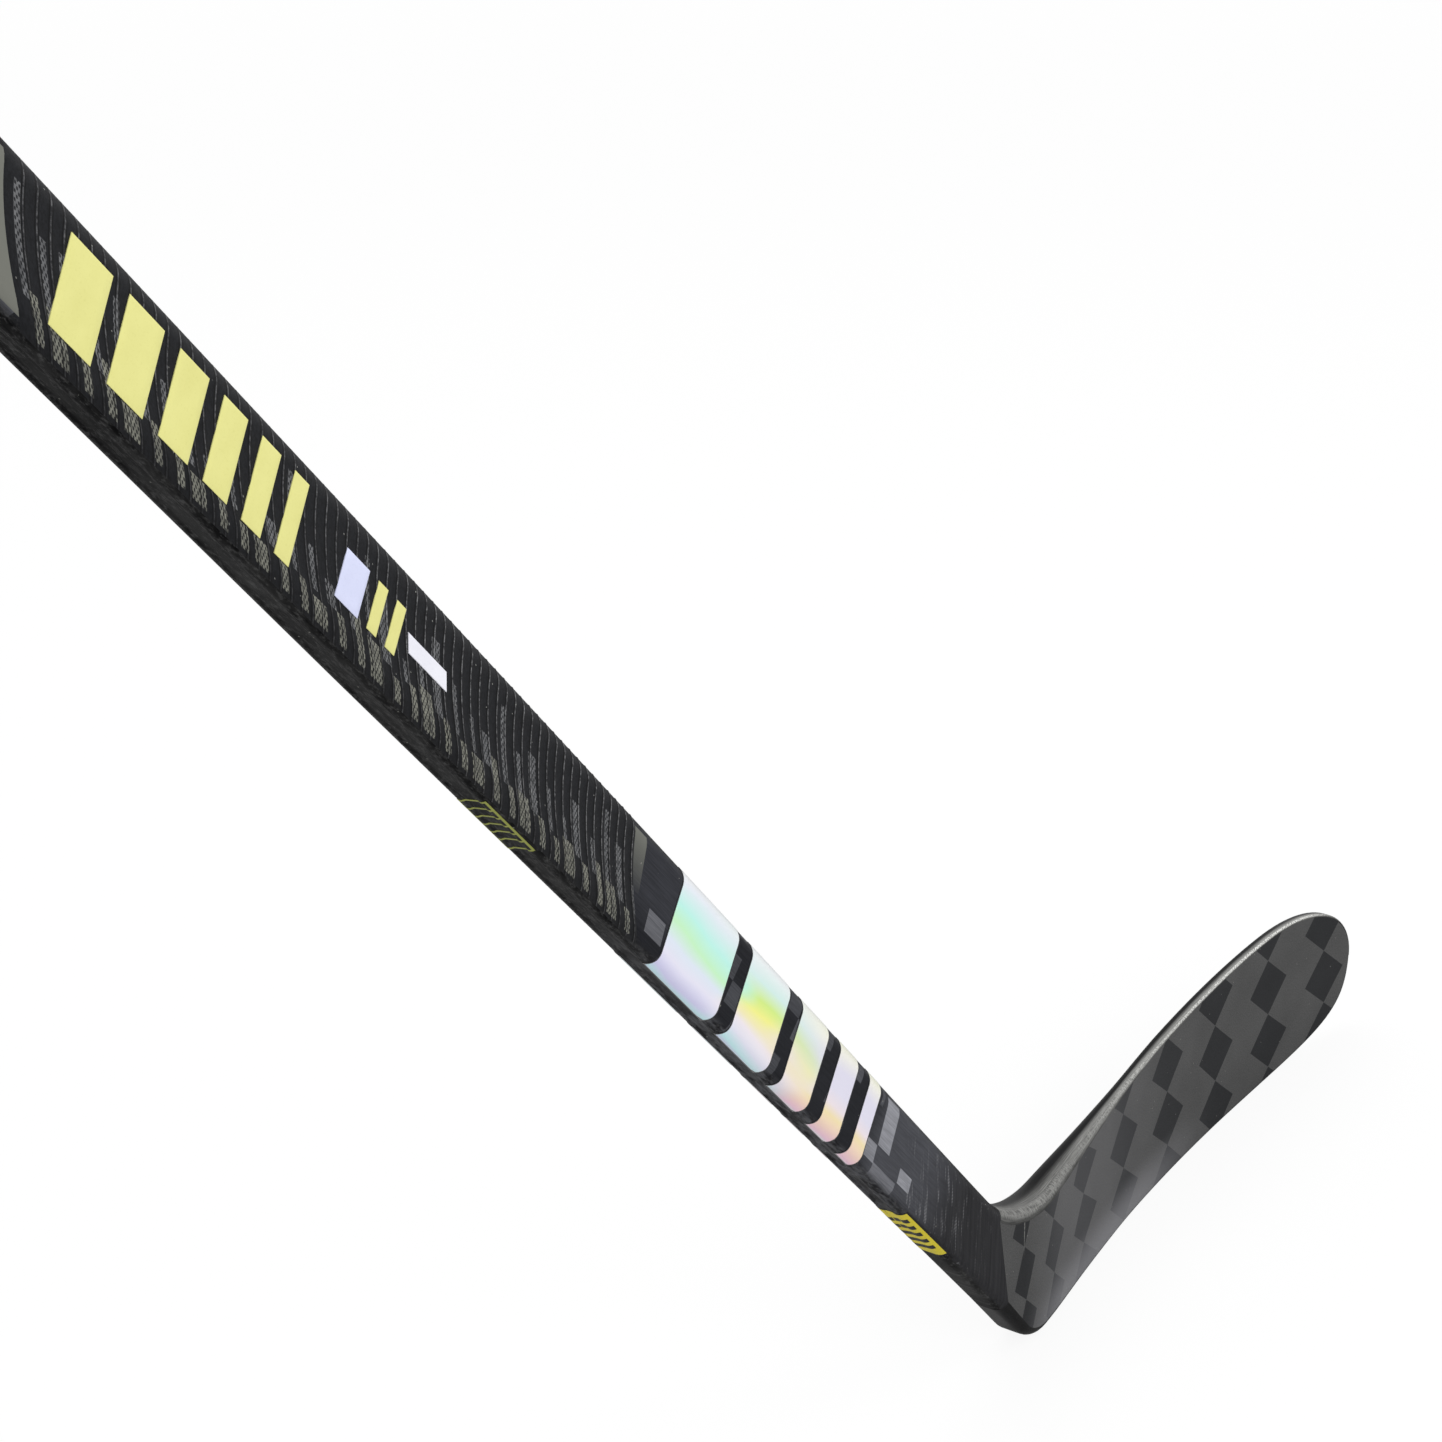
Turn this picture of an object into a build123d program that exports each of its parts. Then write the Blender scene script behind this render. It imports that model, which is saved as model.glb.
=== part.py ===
"""Ice hockey stick, left-hand, senior size, with its blade flat on the ice.

Millimetres. +X runs from the heel to the toe, +Z is up from the ice, and -Y is the
forehand side. The origin is the middle of the blade's sole. A station is a distance
from the heel corner up the shaft, and a reach is a distance from the heel corner
along the blade.
"""

import os
from math import cos, radians, sin, tan

from build123d import *

# Shaft
SHAFT_LENGTH = 1524.0  # heel corner to the end of the butt cap
SHAFT_WIDTH = 30.0
SHAFT_THICKNESS = 19.0
SHAFT_CORNER = 5.0
SHAFT_WALL = 2.0
LIE_ANGLE = 47.0  # between the shaft and the ice, degrees
TAPER_LENGTH = 460.0  # from the joint up to the full section

# Hosel, the moulded foot of the shaft that carries the blade
HOSEL_LENGTH = 100.0  # heel corner to the joint with the tube
HOSEL_WIDTH = 29.4
HOSEL_THICKNESS = 15.5
HOSEL_WALL = 3.5
HEEL_RADIUS = 30.0
THROAT_RADIUS = 70.0
SPIGOT_LENGTH = 60.0
SPIGOT_WALL = 1.8
GLUE_GAP = 0.25

# Blade
BLADE_LENGTH = 314.0
BLADE_ROOT = 20.0  # reach at which the blade leaves the hosel
BLADE_HEIGHT = 75.2
ROOT_HEIGHT = 62.3
CREST_REACH = 232.0
SOLE_REACH = 200.0  # reach at which the sole starts to lift to the toe
TOE_HEIGHT = 34.0  # height of the toe's furthest point
TOP_RISE = 0.07  # slope of the top edge where it leaves the hosel
ORIGIN_REACH = 120.0
TOE_LOW_PULL = 0.85  # fullness of the toe's curves, as shares of their room
TOE_RISE_PULL = 0.18
TOE_HIGH_PULL = 0.55
CREST_PULL = 0.6
TOP_PULL = 0.28
ROOT_THICKNESS = 14.0
BODY_THICKNESS = 5.6
TOE_THICKNESS = 4.6
THIN_REACH = 95.0  # reach at which the root's taper ends
SPLAY_ANGLE = 3.5  # between the blade's root and the shaft's wide face, degrees
CURVE_REACH = 99.0  # reach at which the blade starts to curve to the forehand
CURVE_RADIUS = 1240.0
SKIN = 0.9
EDGE_WIDTH = 2.2
RIB_THICKNESS = 1.6
RIB_HEIGHT = 33.0
TANG_LENGTH = 30.0
TANG_THICKNESS = 5.0

# Butt plug
CAP_LENGTH = 12.0
CAP_ROUND = 3.0
PLUG_LENGTH = 55.0
PLUG_WALL = 1.8
PLUG_CLEARANCE = 0.1
CORE_LENGTH = 45.0

# Films and coats on the shaft
FILM = 0.15
COAT = 0.3
COAT_MARGIN = 4.0
COAT_START = 402.0
COAT_END = 735.0
COAT_LEAN = 24.0  # how much further up the shaft the coat's high corners are
COAT_BOW = 2.5
FOIL_START = 208.0
FOIL_WIDTHS = (12.0, 18.0, 25.0, 34.0, 46.0)
FOIL_GAP = 11.0
FOIL_TOP = 27.6
FOIL_SLANT = 8.0
FOIL_WRAP = 4.5  # how far from the middle plane the foil stops on the narrow side
NAME_START = 622.0
NAME_WIDTHS = (7.0, 9.0, 11.0, 13.0, 15.0, 17.0)
NAME_GAP = 7.0
NAME_LOW = 6.0
NAME_HIGH = 25.0
NAME_SLANT = 7.0
SERIES_ROWS = (  # name, start, widths, low edge, high edge
    ("white_bar", 541.0, (22.0,), 13.0, 17.0),
    ("yellow_bars", 568.0, (5.0, 5.0), 9.5, 21.0),
    ("lavender_bar", 588.0, (12.0,), 9.5, 21.0),
)
SERIES_GAP = 5.0
SERIES_SLANT = 4.0
MARK_START = 462.0
MARK_LENGTH = 32.0
MARK_WIDTH = 12.4
MARK_LINE = 0.9
MARK_SLANT = 5.0
BADGE_START = 106.0
BADGE_LENGTH = 46.0
BADGE_WIDTH = 13.4
BADGE_ROUND = 2.0

# Making
OVERRUN = 6.0  # how far a cutting shape runs past what it cuts
FACE_STEPS = 8  # spans between the points along a face of the blade

# Places worked out from the sizes above
LIE = radians(LIE_ANGLE)
TAPER_TOP = HOSEL_LENGTH + TAPER_LENGTH
BUTT = SHAFT_LENGTH - CAP_LENGTH
REACH_BEYOND = BLADE_LENGTH + OVERRUN
HIGH_CLEAR = BLADE_HEIGHT + OVERRUN
SIDE_CLEAR = SHAFT_THICKNESS + OVERRUN
HOSEL_LOW = (SHAFT_WIDTH - HOSEL_WIDTH) / 2
HOSEL_HIGH = HOSEL_LOW + HOSEL_WIDTH


def centre_line(reach):
    """Sideways place of the blade's middle, before the origin is set: splay, then curve."""
    bend = max(0.0, reach - CURVE_REACH)
    return reach * tan(radians(SPLAY_ANGLE)) - bend**2 / (2 * CURVE_RADIUS)


HEEL = Vector(-ORIGIN_REACH, -centre_line(ORIGIN_REACH), 0)
UP_SHAFT = Vector(-cos(LIE), 0, sin(LIE))
ACROSS = Vector(sin(LIE), 0, cos(LIE))
FACE_PLANE = Plane(origin=HEEL, x_dir=UP_SHAFT, z_dir=(0, 1, 0))
NARROW_PLANE = Plane(origin=HEEL + ACROSS * (SHAFT_WIDTH / 2), x_dir=UP_SHAFT, z_dir=-ACROSS)
SIDE_PLANE = Plane(origin=HEEL, x_dir=(1, 0, 0), z_dir=(0, -1, 0))
CUT_PLANE = SIDE_PLANE.offset(-SIDE_CLEAR)
PLAN_PLANE = Plane(origin=HEEL, x_dir=(1, 0, 0), z_dir=(0, 0, 1))


def taper(station):
    """How much of the full shaft section is reached at a station, from 0 to 1."""
    return min(1.0, max(0.0, (station - HOSEL_LENGTH) / TAPER_LENGTH))


def section(station, inset=0.0):
    """Shaft section at a station, drawn this far inside the outside surface."""
    width = HOSEL_WIDTH + (SHAFT_WIDTH - HOSEL_WIDTH) * taper(station)
    thickness = HOSEL_THICKNESS + (SHAFT_THICKNESS - HOSEL_THICKNESS) * taper(station)
    centre = HEEL + UP_SHAFT * station + ACROSS * (SHAFT_WIDTH / 2)
    with BuildSketch(Plane(origin=centre, x_dir=ACROSS, z_dir=UP_SHAFT)) as sketch:
        RectangleRounded(width - 2 * inset, thickness - 2 * inset, SHAFT_CORNER - inset)
    return sketch.sketch


def sections(low, high, inset=0.0):
    """Shaft sections between two stations, with one where the taper ends."""
    bends = [TAPER_TOP] if low < TAPER_TOP < high else []
    return [section(station, inset) for station in [low, *bends, high]]


def half_thickness(reach):
    """Half the blade's thickness: a quick taper at the root, then a slow one to the toe."""
    if reach < THIN_REACH:
        share = reach / THIN_REACH
        return (ROOT_THICKNESS + (BODY_THICKNESS - ROOT_THICKNESS) * share) / 2
    share = (reach - THIN_REACH) / (BLADE_LENGTH - THIN_REACH)
    return (BODY_THICKNESS + (TOE_THICKNESS - BODY_THICKNESS) * share) / 2


def face_line(side, depth):
    """Points along one face of the blade in plan, this far under its surface."""
    span = (REACH_BEYOND - BLADE_ROOT) / FACE_STEPS
    stations = [BLADE_ROOT + span * step for step in range(FACE_STEPS + 1)]
    return [(reach, centre_line(reach) + side * (half_thickness(reach) - depth)) for reach in stations]


def plan_band(front, back):
    """Plan of a layer of the blade, between two lines of points along it."""
    with BuildSketch(PLAN_PLANE) as sketch:
        with BuildLine():
            near = Spline(*front)
            far = Spline(*back)
            Line(near @ 0, far @ 0)
            Line(near @ 1, far @ 1)
        make_face()
    return sketch.sketch


def blade_outline(inset=0.0):
    """Side view of the blade, drawn this far inside its edge."""
    root, toe = BLADE_ROOT + inset, BLADE_LENGTH - inset
    sole, crest, shoulder = inset, BLADE_HEIGHT - inset, ROOT_HEIGHT - inset
    toe_room, crest_room, top_run = toe - SOLE_REACH, toe - CREST_REACH, CREST_REACH - root
    with BuildSketch(CUT_PLANE) as sketch:
        with BuildLine():
            Line((root, sole), (SOLE_REACH, sole))
            Bezier(
                (SOLE_REACH, sole),
                (SOLE_REACH + TOE_LOW_PULL * toe_room, sole),
                (toe, sole + TOE_RISE_PULL * (TOE_HEIGHT - sole)),
                (toe, TOE_HEIGHT),
            )
            Bezier(
                (toe, TOE_HEIGHT),
                (toe, TOE_HEIGHT + TOE_HIGH_PULL * (crest - TOE_HEIGHT)),
                (CREST_REACH + CREST_PULL * crest_room, crest),
                (CREST_REACH, crest),
            )
            Bezier(
                (CREST_REACH, crest),
                (CREST_REACH - TOP_PULL * top_run, crest),
                (root + TOP_PULL * top_run, shoulder + TOP_PULL * top_run * TOP_RISE),
                (root, shoulder),
            )
            Line((root, shoulder), (root, sole))
        make_face()
    return sketch.sketch


def hosel_outline(inset=0.0):
    """Side view of the hosel: the shaft's foot, rounded heel and throat."""
    throat_x = (HOSEL_HIGH - (ROOT_HEIGHT - TOP_RISE * BLADE_ROOT) * cos(LIE)) / (
        sin(LIE) + TOP_RISE * cos(LIE)
    )
    throat = (throat_x, ROOT_HEIGHT + TOP_RISE * (throat_x - BLADE_ROOT))
    heel = (HOSEL_LOW / sin(LIE), 0)
    low_end, high_end = (
        (-HOSEL_LENGTH * cos(LIE) + height * sin(LIE), HOSEL_LENGTH * sin(LIE) + height * cos(LIE))
        for height in (HOSEL_LOW, HOSEL_HIGH)
    )
    with BuildSketch(SIDE_PLANE) as sketch:
        with BuildLine():
            Polyline(low_end, heel, (BLADE_ROOT, 0), (BLADE_ROOT, ROOT_HEIGHT), throat, high_end, close=True)
        make_face()
        fillet(sketch.vertices().sort_by_distance(heel)[0], HEEL_RADIUS)
        fillet(sketch.vertices().sort_by_distance(throat)[0], THROAT_RADIUS)
        if inset:
            offset(amount=-inset)
    return sketch.sketch


def rib_outline():
    """Side view of the web between the blade's two cores."""
    with BuildSketch(CUT_PLANE) as sketch:
        with Locations((BLADE_ROOT, RIB_HEIGHT)):
            Rectangle(REACH_BEYOND - BLADE_ROOT, RIB_THICKNESS, align=(Align.MIN, Align.CENTER))
    return sketch.sketch


def tang_outline():
    """Side view of the tang that ties the web into the hosel."""
    with BuildSketch(SIDE_PLANE) as sketch:
        with Locations((BLADE_ROOT, RIB_HEIGHT)):
            Rectangle(TANG_LENGTH, RIB_THICKNESS, align=(Align.MAX, Align.CENTER))
    return sketch.sketch


def save(part, name):
    """Label a finished piece and write its file."""
    part.label = name
    export_step(part, f"parts/{name}.step")


os.makedirs("parts", exist_ok=True)

FRONT, BACK = -1, 1

# The hollow laminate tube, from the joint up to the butt
with BuildPart() as shaft_tube:
    loft(sections(HOSEL_LENGTH, BUTT), ruled=True)
    loft(sections(HOSEL_LENGTH, BUTT, SHAFT_WALL), ruled=True, mode=Mode.SUBTRACT)
save(shaft_tube.part, "shaft_tube")

# The hosel, with its spigot up inside the tube
SPIGOT_TOP = HOSEL_LENGTH + SPIGOT_LENGTH
SPIGOT_INSET = SHAFT_WALL + GLUE_GAP
with BuildPart() as hosel:
    extrude(hosel_outline(), amount=HOSEL_THICKNESS / 2, both=True)
    levels = hosel.edges().group_by(Axis.Y)
    outlines = ShapeList([*levels[0], *levels[-1]])
    rims = outlines.filter_by(Axis.Z, reverse=True).filter_by(Axis((0, 0, 0), ACROSS), reverse=True)
    fillet(rims, SHAFT_CORNER)
    loft(sections(HOSEL_LENGTH, SPIGOT_TOP, SPIGOT_INSET), ruled=True)
    loft(sections(HOSEL_LENGTH, SPIGOT_TOP, SPIGOT_INSET + SPIGOT_WALL), ruled=True, mode=Mode.SUBTRACT)
    extrude(hosel_outline(HOSEL_WALL), amount=HOSEL_THICKNESS / 2 - HOSEL_WALL, both=True, mode=Mode.SUBTRACT)
    extrude(tang_outline(), amount=TANG_THICKNESS / 2, both=True, mode=Mode.SUBTRACT)
save(hosel.part, "hosel")

# The adhesive between the tube and the spigot
with BuildPart() as joint_glue:
    loft(sections(HOSEL_LENGTH, SPIGOT_TOP, SHAFT_WALL), ruled=True)
    loft(sections(HOSEL_LENGTH, SPIGOT_TOP, SPIGOT_INSET), ruled=True, mode=Mode.SUBTRACT)
save(joint_glue.part, "joint_glue")

# The foam that fills the hosel, around the tang
with BuildPart() as heel_core:
    extrude(hosel_outline(HOSEL_WALL), amount=HOSEL_THICKNESS / 2 - HOSEL_WALL, both=True)
    extrude(tang_outline(), amount=TANG_THICKNESS / 2, both=True, mode=Mode.SUBTRACT)
save(heel_core.part, "heel_core")

# The band of laminate that closes the blade's edge all round, slotted for the tang
with BuildPart() as blade_edge_band:
    extrude(plan_band(face_line(FRONT, 0), face_line(BACK, 0)), amount=HIGH_CLEAR)
    extrude(blade_outline(), amount=2 * SIDE_CLEAR, mode=Mode.INTERSECT)
    extrude(blade_outline(EDGE_WIDTH), amount=2 * SIDE_CLEAR, mode=Mode.SUBTRACT)
    with Locations(SIDE_PLANE.from_local_coords((BLADE_ROOT, RIB_HEIGHT))):
        Box(2 * EDGE_WIDTH, TANG_THICKNESS, RIB_THICKNESS, mode=Mode.SUBTRACT)
save(blade_edge_band.part, "blade_edge_band")

# The two woven skins, let into the band
for name, side in (("blade_front_skin", FRONT), ("blade_back_skin", BACK)):
    with BuildPart() as skin:
        extrude(plan_band(face_line(side, 0), face_line(side, SKIN)), amount=HIGH_CLEAR)
        extrude(blade_outline(EDGE_WIDTH), amount=2 * SIDE_CLEAR, mode=Mode.INTERSECT)
    save(skin.part, name)

# The two foam cores, above and below the web
CORE_PLAN = plan_band(face_line(FRONT, SKIN), face_line(BACK, SKIN))
for name, low, high in (
    ("blade_lower_core", 0.0, RIB_HEIGHT - RIB_THICKNESS / 2),
    ("blade_upper_core", RIB_HEIGHT + RIB_THICKNESS / 2, HIGH_CLEAR),
):
    with BuildPart() as core:
        extrude(CORE_PLAN.moved(Location((0, 0, low))), amount=high - low)
        extrude(blade_outline(EDGE_WIDTH), amount=2 * SIDE_CLEAR, mode=Mode.INTERSECT)
    save(core.part, name)

# The web between the cores, with the tang that runs on into the hosel
with BuildPart() as blade_web:
    extrude(CORE_PLAN, amount=HIGH_CLEAR)
    extrude(blade_outline(EDGE_WIDTH), amount=2 * SIDE_CLEAR, mode=Mode.INTERSECT)
    extrude(rib_outline(), amount=2 * SIDE_CLEAR, mode=Mode.INTERSECT)
    with Locations(SIDE_PLANE.from_local_coords((BLADE_ROOT + EDGE_WIDTH, RIB_HEIGHT))):
        Box(
            TANG_LENGTH + EDGE_WIDTH,
            TANG_THICKNESS,
            RIB_THICKNESS,
            align=(Align.MAX, Align.CENTER, Align.CENTER),
        )
save(blade_web.part, "blade_web")

# The butt plug: a hollow spigot, its foam core and the cap over the tube's end
with BuildPart() as plug_spigot:
    loft(sections(BUTT - PLUG_LENGTH, BUTT, SHAFT_WALL + PLUG_CLEARANCE), ruled=True)
    loft(
        sections(BUTT - PLUG_LENGTH, BUTT - PLUG_WALL, SHAFT_WALL + PLUG_CLEARANCE + PLUG_WALL),
        ruled=True,
        mode=Mode.SUBTRACT,
    )
save(plug_spigot.part, "plug_spigot")

with BuildPart() as plug_core:
    loft(
        sections(BUTT - PLUG_WALL - CORE_LENGTH, BUTT - PLUG_WALL, SHAFT_WALL + PLUG_CLEARANCE + PLUG_WALL),
        ruled=True,
    )
save(plug_core.part, "plug_core")

with BuildPart() as butt_cap:
    loft(sections(BUTT, SHAFT_LENGTH), ruled=True)
    fillet(butt_cap.faces().sort_by(Axis((0, 0, 0), UP_SHAFT))[-1].edges(), CAP_ROUND)
save(butt_cap.part, "butt_cap")


def slanted(start, length, low, high, slant):
    """Corners of a slanted bar on the shaft's face, leaning along the shaft with height."""
    return [
        (start - slant / 2, low),
        (start + length - slant / 2, low),
        (start + length + slant / 2, high),
        (start + slant / 2, high),
    ]


def bars(plane, start, widths, gap, low, high, slant):
    """A row of slanted bars up the shaft's face."""
    with BuildSketch(plane) as sketch:
        for width in widths:
            with BuildLine():
                Polyline(*slanted(start, width, low, high, slant), close=True)
            make_face()
            start += width + gap
    return sketch.sketch


def coat_outline():
    """Outline of the raised grip coat, with bowed ends that lean along the shaft."""
    low, high = COAT_MARGIN, SHAFT_WIDTH - COAT_MARGIN
    with BuildSketch(FACE_PLANE) as sketch:
        with BuildLine():
            Line((COAT_START, low), (COAT_END, low))
            SagittaArc((COAT_END, low), (COAT_END + COAT_LEAN, high), -COAT_BOW)
            Line((COAT_END + COAT_LEAN, high), (COAT_START + COAT_LEAN, high))
            SagittaArc((COAT_START, low), (COAT_START + COAT_LEAN, high), -COAT_BOW)
        make_face()
    return sketch.sketch


def mark_outline():
    """Outline of the thin-lined lozenge on the heel-side narrow face."""
    with BuildSketch(NARROW_PLANE) as sketch:
        with BuildLine():
            lozenge = slanted(MARK_START, MARK_LENGTH, -MARK_WIDTH / 2, MARK_WIDTH / 2, MARK_SLANT)
            Polyline(*lozenge, close=True)
        make_face()
        offset(amount=-MARK_LINE, mode=Mode.SUBTRACT)
    return sketch.sketch


def badge_outline():
    """Outline of the round-cornered badge on the heel-side narrow face."""
    with BuildSketch(NARROW_PLANE) as sketch:
        with Locations((BADGE_START + BADGE_LENGTH / 2, 0)):
            RectangleRounded(BADGE_LENGTH, BADGE_WIDTH, BADGE_ROUND)
    return sketch.sketch


def film(name, outline, depth, low, high, thickness, base=0.0):
    """Make and save a layer on the shaft, cut to an outline pushed this deep through it."""
    with BuildPart() as layer:
        loft(sections(low, high, -base - thickness), ruled=True)
        loft(sections(low, high, -base), ruled=True, mode=Mode.SUBTRACT)
        extrude(outline, amount=depth, mode=Mode.INTERSECT)
    save(layer.part, name)


# The raised grip coat on each wide face, and the bars printed over it
for side_name, side in (("front", FRONT), ("back", BACK)):
    depth = side * SIDE_CLEAR
    coat_ends = (COAT_START - COAT_LEAN, COAT_END + 2 * COAT_LEAN)
    film(f"grip_coat_{side_name}", coat_outline(), depth, *coat_ends, COAT)
    for name, start, widths, gap, low, high, slant in (
        ("name_bars", NAME_START, NAME_WIDTHS, NAME_GAP, NAME_LOW, NAME_HIGH, NAME_SLANT),
        *((row, at, sizes, SERIES_GAP, low, high, SERIES_SLANT) for row, at, sizes, low, high in SERIES_ROWS),
    ):
        end = start + sum(widths) + gap * len(widths)
        outline = bars(FACE_PLANE, start, widths, gap, low, high, slant)
        film(f"{name}_{side_name}", outline, depth, start - slant, end + slant, FILM, COAT)

# The foil blocks on each wide face, wrapped over the heel-side corner
for side_name, side in (("front", FRONT), ("back", BACK)):
    plane = FACE_PLANE.offset(side * FOIL_WRAP)
    start = FOIL_START
    for number, width in enumerate(FOIL_WIDTHS, 1):
        block = bars(plane, start, (width,), FOIL_GAP, -SHAFT_CORNER, FOIL_TOP, FOIL_SLANT)
        ends = (start - FOIL_SLANT, start + width + FOIL_SLANT)
        film(f"foil_block_{number}_{side_name}", block, side * SIDE_CLEAR, *ends, FILM)
        start += width + FOIL_GAP

# The lozenge and the badge on the heel-side narrow face
for name, outline, start, length in (
    ("side_mark", mark_outline(), MARK_START, MARK_LENGTH),
    ("heel_badge", badge_outline(), BADGE_START, BADGE_LENGTH),
):
    film(name, outline, SHAFT_WIDTH, start - OVERRUN, start + length + OVERRUN, FILM)
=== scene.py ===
"""Looks of an ice hockey stick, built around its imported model.

The stick stands on the ice with its blade along +X, its forehand side towards -Y and
its shaft leaning up to -X. Shapes are worked out in millimetres from the heel corner:
a station runs up the shaft, a height runs across its wide face from the heel-side
narrow face, and a reach runs along the blade.
"""

import logging
import math
from collections.abc import Callable, Sequence
from dataclasses import dataclass, field
from enum import Enum

import bmesh
import bpy
import numpy as np
from mathutils import Matrix, Vector


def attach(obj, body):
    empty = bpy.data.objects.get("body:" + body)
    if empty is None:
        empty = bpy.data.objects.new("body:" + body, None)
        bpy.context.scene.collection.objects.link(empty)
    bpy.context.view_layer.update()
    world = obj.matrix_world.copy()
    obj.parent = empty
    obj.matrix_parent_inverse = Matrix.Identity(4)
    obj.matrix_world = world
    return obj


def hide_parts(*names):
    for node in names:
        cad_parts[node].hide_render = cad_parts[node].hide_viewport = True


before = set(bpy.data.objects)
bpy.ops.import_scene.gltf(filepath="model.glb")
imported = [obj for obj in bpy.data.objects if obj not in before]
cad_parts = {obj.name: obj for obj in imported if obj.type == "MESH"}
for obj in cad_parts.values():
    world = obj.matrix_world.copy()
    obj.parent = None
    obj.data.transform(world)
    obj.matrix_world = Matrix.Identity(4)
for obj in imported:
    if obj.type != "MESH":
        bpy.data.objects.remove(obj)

LOG = logging.getLogger("stick")
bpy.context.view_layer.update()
MM = 0.001
QUARTER = math.pi / 2
# the heel corner's place in the frame, and how far thin layers reach under the surface, in mm
HEEL = np.array([-120.0, 0.0, 0.0])
SUNK = -0.08
# the setting that a node's mode goes to
MODES = {"Math": "operation", "VectorMath": "operation", "MapRange": "interpolation_type"}

Array = np.ndarray
Colour = tuple[float, float, float, float]
Faces = list[list[int]]
Socket = bpy.types.NodeSocket
Feed = Socket | float | Sequence[float] | None
Stops = tuple[tuple[float, str], ...]
Bar = tuple[float, float, float, float, float]
Parts = dict[str, tuple[Array, Array]]
Marks = dict[str, Array]
Adder = Callable[..., Socket]
Material = bpy.types.Material
Object = bpy.types.Object


class Side(Enum):
    """The two wide faces of the stick, by the sign of their sideways direction."""

    FRONT = -1
    BACK = 1


def tint(code: str) -> Colour:
    """Turn an sRGB hex colour into the linear colour that a socket takes.

    Args:
        code: six hex digits after a hash sign.

    Returns:
        Linear red, green and blue, and 1 for alpha.
    """
    parts = np.array([int(code[i : i + 2], 16) for i in (1, 3, 5)]) / 255
    linear = np.where(parts <= 0.04045, parts / 12.92, ((parts + 0.055) / 1.055) ** 2.4)
    return (*linear.tolist(), 1.0)


def ease(value: Array) -> Array:
    """Smooth step: 3x squared less 2x cubed, with x held between 0 and 1."""
    share = np.clip(value, 0, 1)
    return share * share * (3 - 2 * share)


def bezier(points: Sequence[Sequence[float]], count: int = 400) -> Array:
    """Points along a cubic curve: the four points weighed by Bernstein's polynomials.

    Args:
        points: the curve's four control points.
        count: how many points to return.

    Returns:
        Array of count places in the plane.
    """
    s = np.linspace(0, 1, count)[:, None]
    a, b, c, d = (np.array(point) for point in points)
    return a * (1 - s) ** 3 + 3 * b * s * (1 - s) ** 2 + 3 * c * s**2 * (1 - s) + d * s**3


def rounding(corner: Array, before: Array, after: Array, radius: float) -> Array:
    """Arc that rounds a corner: tangent points lie radius times tan(half the turn) from it.

    Args:
        corner: where the two lines would meet.
        before: unit direction of travel into the corner.
        after: unit direction of travel out of it.
        radius: the arc's radius.

    Returns:
        Points along the arc, in the order of travel.
    """
    turn = math.acos(float(before @ after))
    hand = np.sign(before[0] * after[1] - before[1] * after[0])
    reach = radius * math.tan(turn / 2)
    start = corner - before * reach
    inwards = hand * np.array([-before[1], before[0]])
    angle = np.linspace(0, turn, 40)[:, None]
    return start + before * radius * np.sin(angle) + inwards * radius * (1 - np.cos(angle))


def grid_quads(rows: int, columns: int, ring: bool = False, loop: bool = False) -> Faces:
    """Quads of a grid of points, each joining a point to its next in both directions.

    Args:
        rows: number of rows of points.
        columns: number of points in a row.
        ring: whether the last row joins the first.
        loop: whether each row's last point joins its first.

    Returns:
        Corner numbers of each quad.
    """
    down, along = np.arange(rows if ring else rows - 1), np.arange(columns if loop else columns - 1)
    row, column = np.meshgrid(down * columns, along, indexing="ij")
    below, right = (row + columns) % (rows * columns), (column + 1) % columns
    quads = np.stack([row + column, below + column, below + right, row + right], -1)
    return quads.reshape(-1, 4).tolist()


def end_caps(rows: int, columns: int) -> Faces:
    """Two faces that close the first and the last section of a swept grid."""
    last = (rows - 1) * columns
    return [list(range(columns)), list(range(last + columns - 1, last - 1, -1))]


def put(name: str, data: bpy.types.ID) -> Object:
    """Put a new object with this data in the scene, at the origin."""
    thing = bpy.data.objects.new(name, data)
    bpy.context.scene.collection.objects.link(thing)
    return thing


def build_piece(name: str, points: Array, faces: Faces, marks: Marks | None = None) -> Object:
    """Make a closed piece from points in millimetres, welded and facing outwards.

    The shell's signed volume, a sum of triple products, tells whether to turn it. Edges
    that turn more than 38 degrees shade as sharp.

    Args:
        name: the piece's name.
        points: places in the stick's frame, in millimetres.
        faces: corner numbers of each face.
        marks: values at the points for the materials, one or three numbers each.

    Returns:
        The new object, at the origin.
    """
    places = points.reshape(-1, 3)
    volume = 0.0
    middle = places.mean(0)
    for size in {len(face) for face in faces}:
        corners = places[np.array([face for face in faces if len(face) == size])] - middle
        for k in range(1, size - 1):
            volume += float(np.einsum("ij,ij->", corners[:, 0], np.cross(corners[:, k], corners[:, k + 1])))
    if volume < 0:
        faces = [face[::-1] for face in faces]
    mesh = bpy.data.meshes.new(name)
    mesh.from_pydata((places * MM).tolist(), [], faces)
    for mark, values in (marks or {}).items():
        values = np.asarray(values, np.float32)
        wide = values.size == 3 * len(places)
        attribute = mesh.attributes.new(mark, "FLOAT_VECTOR" if wide else "FLOAT", "POINT")
        attribute.data.foreach_set("vector" if wide else "value", values.ravel())
    piece = put(name, mesh)
    shell = bmesh.new()
    shell.from_mesh(mesh)
    bmesh.ops.remove_doubles(shell, verts=shell.verts, dist=1e-6)
    bmesh.ops.dissolve_degenerate(shell, edges=shell.edges, dist=1e-7)
    shell.to_mesh(mesh)
    shell.free()
    mesh.polygons.foreach_set("use_smooth", [True] * len(mesh.polygons))
    mesh.set_sharp_from_angle(angle=math.radians(38.0))
    return piece


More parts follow.
